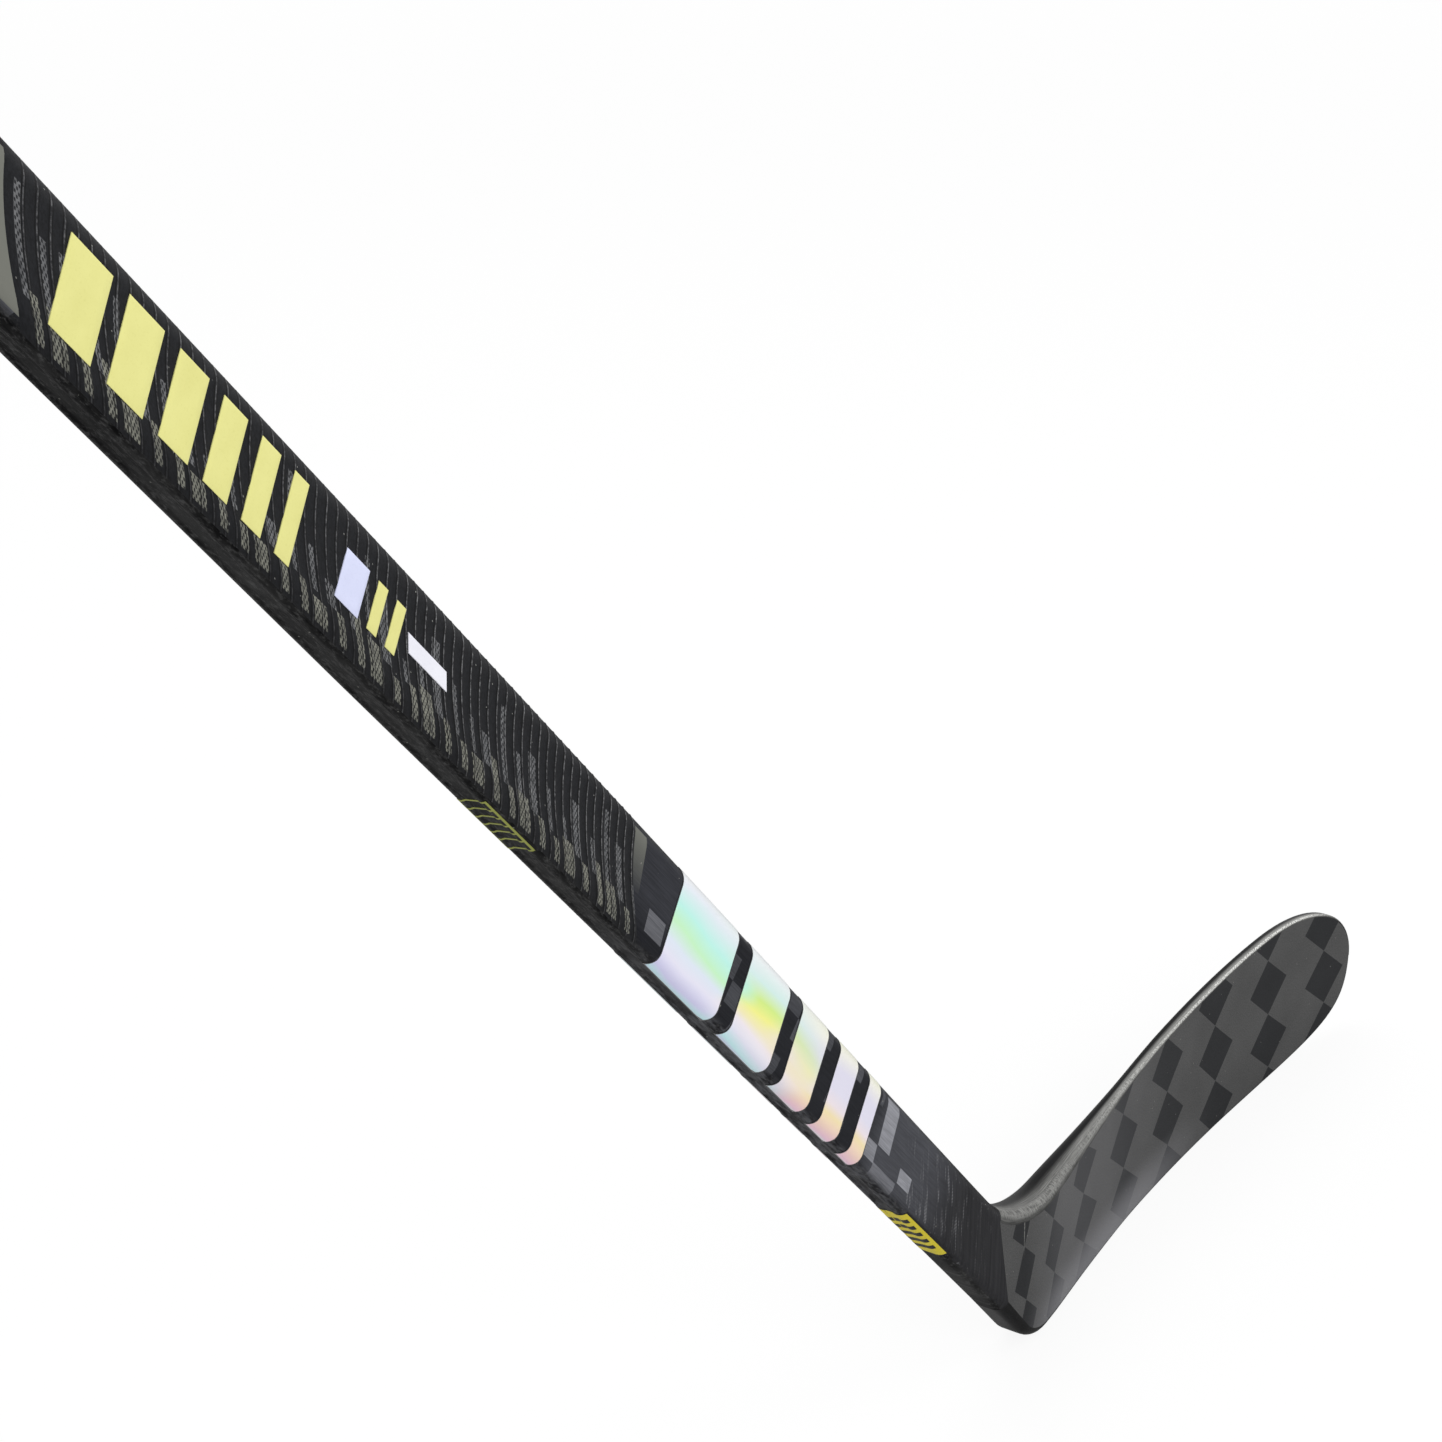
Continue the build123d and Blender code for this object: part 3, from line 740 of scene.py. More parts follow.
@dataclass(frozen=True)
class GripFinish:
    """Soft-touch polyurethane grip coat, screen-printed with ridges over gray mesh patches.

    It is matte black. A painted highlight runs in dashes along each ridge's crest, and painted
    shade lies at the lower edges of each ridge. Behind the coat gray patches of open mesh stand
    along the heel-side edge like a broken skyline. A group of three patches repeats every pitch,
    and the first of each group is the widest.
    """

    name: str = "soft_touch_grip_coat"
    black: str = "#191A1D"
    # groove is the painted shade at the ridges' lower edges, ridge the painted highlight on their crests
    groove: str = "#070708"
    ridge: str = "#98989A"
    mesh: str = "#84847A"
    faint: str = "#707173"
    dust: str = "#A5A5A0"
    pitch: float = 29.8
    hole_along: float = 1.6
    hole_across: float = 1.4

    def patches(
        self, add: Adder, t: Socket, h: Socket, shift: float, tops: tuple[float, float, float], slim: float
    ) -> Socket:
        """Mask of a row of patches: cells along the shaft, each with its own width and top.

        Args:
            add: adds a node to the graph.
            t: station along the ridges.
            h: height on the wide face.
            shift: how far the cells are moved down the shaft.
            tops: where the patches start, the middle height of their tops, and how far they stray.
            slim: share of the full width.

        Returns:
            A socket that is 1 inside the patches.
        """
        low, high, spread = tops
        cells = add("Math:DIVIDE", add("Math:ADD", t, shift), self.pitch / 3)
        number = add("Math:FLOOR", cells)
        across = add("Math:SUBTRACT", cells, number)
        luck = add("TexWhiteNoise", None, number, noise_dimensions="1D")
        wide = add("Math:LESS_THAN", add("Math:FLOORED_MODULO", number, 3.0), 0.5)
        width = add("MapRange", wide, 0.0, 1.0, 0.36 * slim, 0.68 * slim)
        inside = add("Math:LESS_THAN", across, width)
        top = add("MapRange", luck, 0.0, 1.0, high - spread, high + spread)
        inside = add("Math:MULTIPLY", inside, add("Math:LESS_THAN", h, top))
        return add("Math:MULTIPLY", inside, add("Math:GREATER_THAN", h, low))

    def make(self) -> Material:
        """Build the material on the coat's place mark: station along the ridges, height, ridge."""
        g = Graph(bpy.data.materials.new(self.name))
        add = g.add
        place = add("Attribute", out="Vector", attribute_name="place")
        ridge = add("Attribute", out="Fac", attribute_name="ridge")
        t, h, _ = add("SeparateXYZ", place).node.outputs
        strong = self.patches(add, t, h, 0.0, (1.6, 8.0, 2.6), 1.0)
        weak = self.patches(add, t, h, 6.3, (7.0, 17.5, 7.5), 0.7)
        # mesh: staggered holes, in rows 0.8 mm apart along the shaft and 0.7 mm across it
        u = add("Math:SINE", add("Math:MULTIPLY", t, 2 * math.pi / self.hole_along))
        v = add("Math:SINE", add("Math:MULTIPLY", h, 2 * math.pi / self.hole_across))
        web = add("MapRange", add("Math:MULTIPLY", u, v), 0.08, 0.3, 1.0, 0.05)
        grime = add("MapRange", add("TexNoise", place, None, 0.35, 4.0, 0.7), 0.32, 0.62, 0.35, 1.0)
        strong, weak = (
            add("Math:MULTIPLY", add("Math:MULTIPLY", mask, web), grime) for mask in (strong, weak)
        )
        skin = add("TexNoise", add("VectorMath:MULTIPLY", place, (1.1, 0.35, 1.0)), None, 1.0, 4.0, 0.75)
        skin = add("MapRange", skin, 0.32, 0.68, 0.55, 1.45)
        skin = add("VectorMath:SCALE", tint(self.black)[:3], named={"Scale": skin})
        colour = add("MixRGB", weak, skin, tint(self.faint))
        colour = add("MixRGB", strong, colour, tint(self.mesh))
        # painted highlight along each ridge's crest, in dashes, and painted shade at its lower edges on both
        # sides
        painted_foot_shade = add("Math:MULTIPLY", add("Math:COMPARE", ridge, 0.3, 0.28), 0.85)
        colour = add("MixRGB", painted_foot_shade, colour, tint(self.groove))
        painted_sheen = add("TexNoise", add("VectorMath:MULTIPLY", place, (0.9, 0.5, 1.0)), None, 1.0, 4.0, 0.75)
        lit = add("MapRange", ridge, 0.62, 0.95)
        lit = add("Math:MULTIPLY", lit, add("MapRange", painted_sheen, 0.42, 0.62, 0.04, 0.7))
        lit = add("Math:MULTIPLY", lit, add("MapRange", h, 3.0, 15.0, 0.35, 1.0))
        lit = add("Math:MULTIPLY", lit, add("MapRange", t, 540.0, 600.0, 1.0, 0.6))
        colour = add("MixRGB", lit, colour, tint(self.ridge))
        dust = add("TexVoronoi", place, None, 0.2, feature="F1")
        dust = add("Math:MULTIPLY", add("Math:LESS_THAN", dust, 0.05), 0.6)
        colour = add("MixRGB", dust, colour, tint(self.dust))
        fine = add("TexNoise", place, None, 2.2, 2.0, 0.6)
        bump = add("Bump", 0.3, 0.00012, named={"Height": fine})
        rough = add("MapRange", fine, 0.3, 0.7, 0.55, 0.68)
        return g.close(colour, rough, bump, Specular_IOR_Level=0.18)


@dataclass(frozen=True)
class FoilFinish:
    """Holographic transfer foil under a clear coat.

    The foil's fine grating splits light, and its rainbow is painted into the colour as painted
    reflections: broad soft bands of mint, yellow, peach and lavender lie across it, palest along
    the top as a painted highlight, with a pale cyan painted glint and blue where it turns the
    corner. The three ramps run across the face, for the blocks nearest the coat, in the middle and nearest
    the heel.
    """

    name: str = "holographic_foil"
    outline: str = "#101014"
    far: Stops = (
        (0.0, "#CFCBFF"), (1.0, "#FDFEFF"), (0.07, "#D8D5FF"), (0.13, "#CDF8FF"), (0.2, "#DDDBFF"),
        (0.34, "#F0EEFF"), (0.46, "#E8F2FF"), (0.58, "#CDFFCC"), (0.72, "#C4FFF2"), (0.9, "#F0F6FF"),
    )
    mid: Stops = (
        (0.0, "#D2CEFF"), (1.0, "#F8FDFF"), (0.07, "#DAD8FF"), (0.14, "#CCFBFF"), (0.24, "#EDEEFF"),
        (0.36, "#FBF2F8"), (0.46, "#FFF6BE"), (0.58, "#FFFF8C"), (0.7, "#DCFB84"), (0.84, "#DDFAF4"),
    )
    near: Stops = (
        (0.0, "#DCD9FF"), (1.0, "#FFFFE6"), (0.08, "#F2F8FF"), (0.15, "#FFD0E6"), (0.25, "#FFDCCC"),
        (0.38, "#FFEBB4"), (0.48, "#F9ECF2"), (0.62, "#ECE9FB"), (0.78, "#EBE8FA"), (0.9, "#FCFAF2"),
    )

    def make(self) -> Material:
        """Build the material on the foil's place and border marks."""
        g = Graph(bpy.data.materials.new(self.name))
        add = g.add
        place = add("Attribute", out="Vector", attribute_name="place")
        border = add("Attribute", out="Fac", attribute_name="border")
        t, h, _ = add("SeparateXYZ", place).node.outputs
        wave = add("TexNoise", add("VectorMath:MULTIPLY", place, (0.02, 0.05, 0.0)), None, 1.0, 1.0, 0.4)
        up = add("Math:ADD", add("MapRange", h, -6.0, 28.0), add("MapRange", wave, 0.3, 0.7, -0.05, 0.05))
        # the three ramps hold painted reflections, a painted highlight along the top and a painted glint at
        # the corner
        far, mid, near = (add("ValToRGB", up, stops=stops) for stops in (self.far, self.mid, self.near))
        drift = add("Math:ADD", t, add("MapRange", wave, 0.3, 0.7, -22.0, 22.0))
        lower = add("MapRange:SMOOTHSTEP", drift, 262.0, 305.0)
        upper = add("MapRange:SMOOTHSTEP", drift, 322.0, 352.0)
        bands = add("MixRGB", upper, add("MixRGB", lower, near, mid), far)
        inside = add("Math:GREATER_THAN", border, 0.55)
        colour = add("MixRGB", inside, tint(self.outline), bands)
        grating = add("TexNoise", add("VectorMath:MULTIPLY", place, (0.25, 3.0, 0.0)), None, 1.0, 2.0, 0.5)
        bump = add("Bump", 0.12, 0.0001, named={"Height": grating})
        metal = add("Math:MULTIPLY", inside, 0.08)
        return g.close(colour, 0.26, bump, Metallic=metal, Coat_Weight=0.6, Coat_Roughness=0.08)


@dataclass(frozen=True)
class InkFinish:
    """Screen-printed ink: a flat, faintly speckled film with a satin gloss."""

    name: str
    code: str
    edge: str

    def make(self) -> Material:
        """Build the material on the print's place mark."""
        g = Graph(bpy.data.materials.new(self.name))
        add = g.add
        place = add("Attribute", out="Vector", attribute_name="place")
        grain = add("TexNoise", place, None, 1.4, 3.0, 0.6)
        cloud = add("TexNoise", place, None, 0.11, 2.0, 0.5)
        amount = add("MapRange", grain, 0.55, 0.85, 0.0, 0.5)
        amount = add("Math:ADD", amount, add("MapRange", cloud, 0.3, 0.7, 0.0, 0.3))
        colour = add("MixRGB", amount, tint(self.code), tint(self.edge))
        bump = add("Bump", 0.15, 0.0001, named={"Height": grain})
        rough = add("MapRange", grain, 0.3, 0.7, 0.36, 0.5)
        return g.close(colour, rough, bump, Specular_IOR_Level=0.15)


@dataclass(frozen=True)
class MouldedFinish:
    """A moulded or cast filler: one colour with fine mottle, grain and bump at a real scale."""

    name: str
    code: str
    other: str
    grain: float
    roughness: float
    depth: float = 0.0001

    def make(self) -> Material:
        """Build the material on object coordinates, with a fine noise of the grain's size in mm."""
        g = Graph(bpy.data.materials.new(self.name))
        add = g.add
        coords = add("TexCoord", out="Object")
        fine = add("TexNoise", coords, None, 1000 / self.grain, 3.0, 0.6)
        broad = add("TexNoise", coords, None, 60.0, 2.0, 0.5)
        amount = add("MapRange", fine, 0.3, 0.7, 0.0, 0.7)
        amount = add("Math:ADD", amount, add("MapRange", broad, 0.3, 0.7, 0.0, 0.3))
        colour = add("MixRGB", amount, tint(self.code), tint(self.other))
        rough = add("MapRange", fine, 0.3, 0.7, self.roughness - 0.06, self.roughness + 0.06)
        bump = add("Bump", 0.4, self.depth, named={"Height": fine})
        return g.close(colour, rough, bump, Specular_IOR_Level=0.35)


@dataclass
class LowerBody:
    """Hosel and blade, one smooth moulding, made as hosel, rim and two fabric faces.

    Two rails bound the side view: the low one runs down the shaft's heel side, round the
    heel and along the sole, and the high one runs through the throat and along the top.
    Both end at the tip of the toe. Sections join the rails, with rounded edges. Each of
    the fabric's chains of dark diamonds has its reach, its height and its repeat.
    """

    hosel_low: float = 0.3
    hosel_width: float = 29.4
    heel_radius: float = 30.0
    throat_radius: float = 70.0
    root: float = 20.0
    root_height: float = 62.3
    top_rise: float = 0.07
    crest: tuple[float, float] = (232.0, 75.2)
    sole_end: float = 200.0
    toe: tuple[float, float] = (314.0, 34.0)
    splay: float = math.radians(3.5)
    curve_start: float = 99.0
    curve_radius: float = 1240.0
    skin: float = 0.9
    border_low: float = -26.5
    border_high: float = -29.5
    spigot: float = 60.0
    spigot_inset: float = 2.25
    spigot_wall: float = 1.8
    hosel_wall: float = 1.5
    face_steps: int = 20
    corner_steps: int = 6
    flat_steps: int = 4
    chains: tuple[tuple[float, float, float], ...] = (
        (-63.0, -10.0, 26.0),
        (-36.0, 0.5, 26.0),
        (-9.0, 11.7, 25.9),
        (17.3, 22.0, 26.9),
        (49.7, 29.3, 24.8),
        (93.9, 28.7, 27.5),
        (139.1, 29.5, 27.8),
        (186.8, 24.6, 29.0),
        (237.8, 21.2, 28.4),
        (290.0, 18.1, 28.2),
        (342.0, 15.0, 28.0),
    )
    low: Array = field(init=False)
    high: Array = field(init=False)

    def __post_init__(self) -> None:
        """Work out both rails, half a millimetre or less between points."""
        c, s = math.cos(SHAFT.lie), math.sin(SHAFT.lie)
        down, flat = np.array([c, -s]), np.array([1.0, 0.0])
        grade = np.array([1.0, self.top_rise])
        rise = grade / math.hypot(1, self.top_rise)
        heel = np.array([self.hosel_low / s, 0.0])
        top = self.hosel_low + self.hosel_width
        throat_x = (top - (self.root_height - self.top_rise * self.root) * c) / (s + self.top_rise * c)
        throat = np.array([throat_x, self.root_height + self.top_rise * (throat_x - self.root)])
        foot = SHAFT.foot
        low_start = np.array([-foot * c + self.hosel_low * s, foot * s + self.hosel_low * c])
        high_start = np.array([-foot * c + top * s, foot * s + top * c])
        root, crest, toe = np.array([[self.root, self.root_height], self.crest, self.toe])
        room_low, room_high, run = toe[0] - self.sole_end, toe[0] - crest[0], crest[0] - self.root
        low = [
            low_start[None],
            rounding(heel, down, flat, self.heel_radius),
            bezier([(self.sole_end, 0), (self.sole_end + 0.85 * room_low, 0), (toe[0], 0.18 * toe[1]), toe]),
        ]
        high = [
            high_start[None],
            rounding(throat, down, rise, self.throat_radius),
            bezier([root, root + 0.28 * run * grade, crest - (0.28 * run, 0), crest]),
            bezier([crest, crest + (0.6 * room_high, 0), toe + (0, 0.55 * (crest[1] - toe[1])), toe])[1:],
        ]
        self.low, self.high = self.resample(np.concatenate(low)), self.resample(np.concatenate(high))

    @staticmethod
    def resample(points: Array) -> Array:
        """Spread points evenly along a line, by its running length."""
        run = np.concatenate([[0], np.cumsum(np.linalg.norm(np.diff(points, axis=0), axis=1))])
        even = np.linspace(0, run[-1], 4000)
        return np.stack([even, np.interp(even, run, points[:, 0]), np.interp(even, run, points[:, 1])], 1)

    @staticmethod
    def rail(line: Array, run: Array, hand: int) -> tuple[Array, Array]:
        """Points of a rail at running lengths, and the unit normals that point inwards.

        Args:
            line: the rail's running length, reach and height.
            run: running lengths of the wanted points.
            hand: 1 where inwards is on the left of the way along the rail, else -1.

        Returns:
            Places and normals in the side view.
        """
        at = [np.interp(run, line[:, 0], line[:, k]) for k in (1, 2)]
        slope = np.gradient(line[:, 1:], line[:, 0], axis=0)
        way = np.stack([np.interp(run, line[:, 0], slope[:, k]) for k in (0, 1)], 1)
        way /= np.linalg.norm(way, axis=1)[:, None]
        return np.stack(at, 1), hand * np.stack([-way[:, 1], way[:, 0]], 1)

    def half_thickness(self, reach: Array) -> Array:
        """Half the thickness along the reach: hosel, quick taper, slow taper, then smoothed."""
        x = np.linspace(-120, 340, 921)
        taper = np.interp(x, [0, 95, 314], [7.0, 2.79, 2.29])
        mixed = SHAFT.foot_thickness / 2 + (taper - SHAFT.foot_thickness / 2) * ease((x + 25) / 85)
        kernel = np.exp(-0.5 * (np.arange(-60, 61) / 20) ** 2)
        smooth = np.convolve(np.pad(mixed, 60, mode="edge"), kernel / kernel.sum(), "valid")
        return np.interp(reach, x, smooth)

    def middle(self, reach: Array) -> Array:
        """Sideways place of the blade's middle: an eased start, the splay, then the curve."""
        slope = math.tan(self.splay)
        start = np.where(reach < 20, slope * np.maximum(reach + 20, 0) ** 2 / 80, slope * reach)
        return start - np.maximum(reach - self.curve_start, 0) ** 2 / (2 * self.curve_radius)

    def stations(self) -> tuple[Array, Array, int]:
        """Running lengths of each section's ends on the two rails, and where the blade starts."""
        hosel_count, toe_count = 26, 34
        step = np.linspace(0, 1, hosel_count)
        length = self.crest[0] - self.border_low
        reach = np.concatenate([np.linspace(0, 60, 44)[:-1], np.linspace(60, length, 48)])
        share = reach / reach[-1]
        toe = np.sin(np.linspace(0, QUARTER, toe_count))[1:]
        runs = []
        for line, x0 in ((self.low, self.border_low), (self.high, self.border_high)):
            begin = float(np.interp(x0, line[:, 1], line[:, 0]))
            along = np.interp(x0 + share * (self.crest[0] - x0), line[:, 1], line[:, 0])
            end = along[-1] + toe * (line[-1, 0] - along[-1])
            runs.append(np.concatenate([step * begin, along[1:], end]))
        return runs[0], runs[1], hosel_count - 1

    def radii(self, reach: Array) -> tuple[Array, Array]:
        """Edge radii at the low and high rails: the shaft's corner, shrinking along the blade."""
        low = np.interp(reach, [-30, 25, 90], [5.0, 2.6, 1.5])
        high = np.interp(reach, [-25, 45, 130], [5.0, 3.2, 1.15])
        limit = self.half_thickness(reach) * 0.92
        return np.minimum(low, limit), np.minimum(high, limit)

    def corner(
        self, place: Array, normal: Array, radius: Array, half: Array, steps: Array
    ) -> tuple[Array, Array]:
        """Inset places and half-thicknesses round an edge: a quarter circle from face to rim.

        Args:
            place: the edge's places in the side view.
            normal: unit normals that point inwards.
            radius: the edge's radius at each place.
            half: half the thickness at each place.
            steps: shares of the quarter turn.

        Returns:
            Places, and distances from the middle plane.
        """
        angle = steps[None, :] * QUARTER
        inset = radius[:, None] * (1 - np.sin(angle))
        depth = half[:, None] - radius[:, None] * (1 - np.cos(angle))
        return place[:, None] + normal[:, None] * inset[..., None], depth

    def sections(self, inset: float = 0.0) -> Parts:
        """Parts of every section, this far inside the surface.

        Args:
            inset: distance under the outside surface.

        Returns:
            For each part, places in the side view and distances from the middle plane.
        """
        low_run, high_run, _ = self.stations()
        low, low_in = self.rail(self.low, low_run, 1)
        high, high_in = self.rail(self.high, high_run, -1)
        low_half, high_half = (self.half_thickness(p[:, 0]) - inset for p in (low, high))
        low_radius, high_radius = self.radii(low[:, 0])[0] - inset, self.radii(high[:, 0])[1] - inset
        low, high = low + low_in * inset, high + high_in * inset
        steps = np.linspace(0, 1, self.corner_steps + 1)
        low_corner = self.corner(low, low_in, np.maximum(low_radius, 0.1), low_half, steps)
        high_corner = self.corner(high, high_in, np.maximum(high_radius, 0.1), high_half, steps)
        return self.fill((low, high), (low_corner, high_corner), lambda x: self.half_thickness(x) - inset)

    def fill(
        self, edges: tuple[Array, Array], corners: tuple[tuple[Array, Array], ...], half: Callable
    ) -> Parts:
        """Fill in the sections between their edges: straight faces, and the rim's flats.

        Args:
            edges: places of the low and the high edge in the side view.
            corners: the rounded corners at both, as corner() gives them.
            half: gives half the thickness of the face at a reach.

        Returns:
            For each part, places in the side view and distances from the middle plane.
        """
        share = np.linspace(0, 1, self.face_steps + 1)[None, :, None]
        face = corners[0][0][:, :1] * (1 - share) + corners[1][0][:, :1] * share
        spread = np.linspace(-1, 1, self.flat_steps + 1)[None, 1:-1]
        parts = {"face": (face, half(face[..., 0]))}
        for end, place, corner in zip(("low", "high"), edges, corners):
            parts[f"{end}_corner"] = corner
            flat = np.repeat(place[:, None], spread.shape[1], 1)
            parts[f"{end}_flat"] = (flat, corner[1][:, -1:] * spread)
        return parts

    def solid(self, place: Array, depth: Array) -> Array:
        """Places in the stick's frame, from the side view and the distance off the middle."""
        x, z = place[..., 0], place[..., 1]
        y = self.middle(x) + SHAFT.middle_y + depth
        return np.stack([x + HEEL[0], y, z], -1)

    def ring(self, parts: Parts) -> Array:
        """Closed sections: front face up, round the high edge, back face down, round the low one."""
        face, low, high = parts["face"], parts["low_corner"], parts["high_corner"]
        order = [
            (face[0], -face[1]),
            (high[0][:, 1:], -high[1][:, 1:]),
            parts["high_flat"],
            (high[0][:, ::-1], high[1][:, ::-1]),
            (face[0][:, -2::-1], face[1][:, -2::-1]),
            (low[0][:, 1:], low[1][:, 1:]),
            (parts["low_flat"][0], -parts["low_flat"][1]),
            (low[0][:, :0:-1], -low[1][:, :0:-1]),
        ]
        return np.concatenate([self.solid(place, depth) for place, depth in order], 1)

    def spigot_ring(self, station: float, inset: float) -> Array:
        """One section of the tube's inside shape, in the order of ring()."""
        along = np.array([-math.cos(SHAFT.lie), math.sin(SHAFT.lie)])
        over = np.array([math.sin(SHAFT.lie), math.cos(SHAFT.lie)])
        at = np.array([station])
        breadth, half = float(SHAFT.breadth(at)[0]), SHAFT.half(at) - inset
        base = (SHAFT.width - breadth) / 2
        low = (along * station + over * (base + inset))[None]
        high = (along * station + over * (base + breadth - inset))[None]
        radius = np.array([max(SHAFT.corner - inset, 0.3)])
        steps = np.linspace(0, 1, self.corner_steps + 1)
        low_corner = self.corner(low, over[None], radius, half, steps)
        high_corner = self.corner(high, -over[None], radius, half, steps)
        parts = self.fill((low, high), (low_corner, high_corner), lambda x: np.full_like(x, half[0]))
        return self.ring(parts)

    def marks(self, points: Array) -> Marks:
        """Marks for the carbon finish: station, height and girth, and how far a point faces sideways."""
        local = points - HEEL - np.array([0, SHAFT.middle_y, 0])
        station, height = local @ SHAFT.up, local @ SHAFT.across
        flat, arc, _ = SHAFT.breaks(station)
        girth = flat + arc + height - SHAFT.corner
        off = np.abs(local[..., 1] - self.middle(local[..., 0]))
        facing = ease((off - self.half_thickness(local[..., 0]) + 3.2) / 3.0)
        return {"place": np.stack([station, height, girth], -1), "facing": facing}

    def hosel(self) -> tuple[Array, Faces]:
        """Points and faces of the hosel: spigot, outside down to the blade, and inside back up."""
        _, _, border = self.stations()
        outer = self.ring(self.sections())[: border + 1]
        inner = self.ring(self.sections(self.hosel_wall))[1 : border + 1]
        foot, tip = SHAFT.foot, SHAFT.foot + self.spigot
        thin = self.spigot_inset + self.spigot_wall
        rows = [
            self.spigot_ring(tip, self.spigot_inset),
            self.spigot_ring(foot, self.spigot_inset),
            outer,
            inner[::-1],
            self.spigot_ring(foot, thin),
            self.spigot_ring(tip, thin),
        ]
        points = np.concatenate(rows)
        return points, grid_quads(len(points), points.shape[1], ring=True, loop=True)

    def rim(self) -> tuple[Array, Faces, Array]:
        """Points, faces and edge marks of the rim: one profile swept along the sole, toe and top."""
        parts = self.sections()
        low_run, high_run, border = self.stations()
        strips, marks = [], []
        turn = np.linspace(-1, -0.55, self.corner_steps + 1)
        across = np.concatenate([turn, np.linspace(-0.55, 0.55, self.flat_steps + 1)[1:-1], -turn[::-1]])
        for end, run, high in (("low", low_run, 0.0), ("high", high_run, 1.0)):
            place, depth = (part[border:] for part in parts[f"{end}_corner"])
            flat_place, flat_depth = (part[border:] for part in parts[f"{end}_flat"])
            tuck = np.maximum(depth[:, :1] - self.skin, 0.3)
            spots = [
                self.solid(place, -depth),
                self.solid(flat_place, flat_depth),
                self.solid(place[:, ::-1], depth[:, ::-1]),
                self.solid(place[:, :1], tuck),
                self.solid(place[:, :1], -tuck),
            ]
            strip = np.concatenate(spots, 1)
            # the third mark, 1 along the top edge and fading out at the toe, is where the edge finish paints
            # its highlight
            fade = ease((308 - place[:, 0, 0]) / 40) * high
            mark = np.zeros((*strip.shape[:2], 3))
            mark[:, : len(across), 0] = across
            mark[..., 1] = run[border:, None]
            mark[..., 2] = fade[:, None]
            strips.append(strip)
            marks.append(mark)
        points = np.concatenate([strips[0], strips[1][-2::-1]])
        values = np.concatenate([marks[0], marks[1][-2::-1]])
        rows, columns = points.shape[:2]
        faces = grid_quads(rows, columns, loop=True) + end_caps(rows, columns)
        return points, faces, values

    def weave(self, place: Array) -> Array:
        """Fabric coordinates: chains of dark diamonds stand 1.5 apart and lean with the drape.

        Between two chains the reach, height and repeat change in a straight line.

        Args:
            place: reach and height of points on a face.

        Returns:
            Coordinates along both tow directions' sum and difference, and 0.
        """
        x, z = place[..., 0], place[..., 1]
        straight = x + 0.147 * (z - 35)
        middles, rises, periods = np.array(self.chains).T
        number = np.arange(len(middles)) - 2.0
        chain = np.interp(straight, middles, number)
        rise = np.interp(chain, number, rises)
        period = np.interp(chain, number, periods)
        return np.stack([1.5 * chain + 0.5, (z - rise) / period, np.zeros_like(x)], -1)

    def fabric(self, side: Side) -> tuple[Array, Faces, Marks]:
        """Points, faces and marks of a face's fabric: the outside, and the same pulled in by a ply."""
        _, _, border = self.stations()
        place, depth = (part[border:] for part in self.sections()["face"])
        outer = self.solid(place, depth * side.value)
        inner = self.solid(place, (depth - self.skin) * side.value)
        points = np.concatenate([outer, inner[:, ::-1]], 1)
        rows, columns = points.shape[:2]
        faces = grid_quads(rows, columns, loop=True)
        width = columns // 2
        faces += [[k, k + 1, columns - 2 - k, columns - 1 - k] for k in range(width - 1)]
        flat = np.concatenate([place, place[:, ::-1]], 1)
        place = np.concatenate([flat, np.zeros((*flat.shape[:2], 1))], -1)
        return points, faces, {"weave": self.weave(flat), "place": place}

    def build(self, hosel: Material, edge: Material, fabric: Material) -> None:
        """Make and dress the hosel, the rim and the two fabric faces.

        Args:
            hosel: the hosel's material.
            edge: the rim's material.
            fabric: the faces' material.
        """
        points, faces = self.hosel()
        piece = build_piece("hosel_moulding", points, faces, self.marks(points))
        finish_piece(piece, "stick", "hosel_carbon", hosel, ["hosel"])
        points, faces, edges = self.rim()
        piece = build_piece("blade_rim", points, faces, {"edge": edges})
        finish_piece(piece, "stick", "blade_edge", edge, ["blade_edge_band"])
        for side in Side:
            points, faces, marks = self.fabric(side)
            name = side.name.lower()
            piece = build_piece(f"blade_fabric_{name}", points, faces, marks)
            finish_piece(piece, "stick", "blade_fabric", fabric, [f"blade_{name}_skin"])


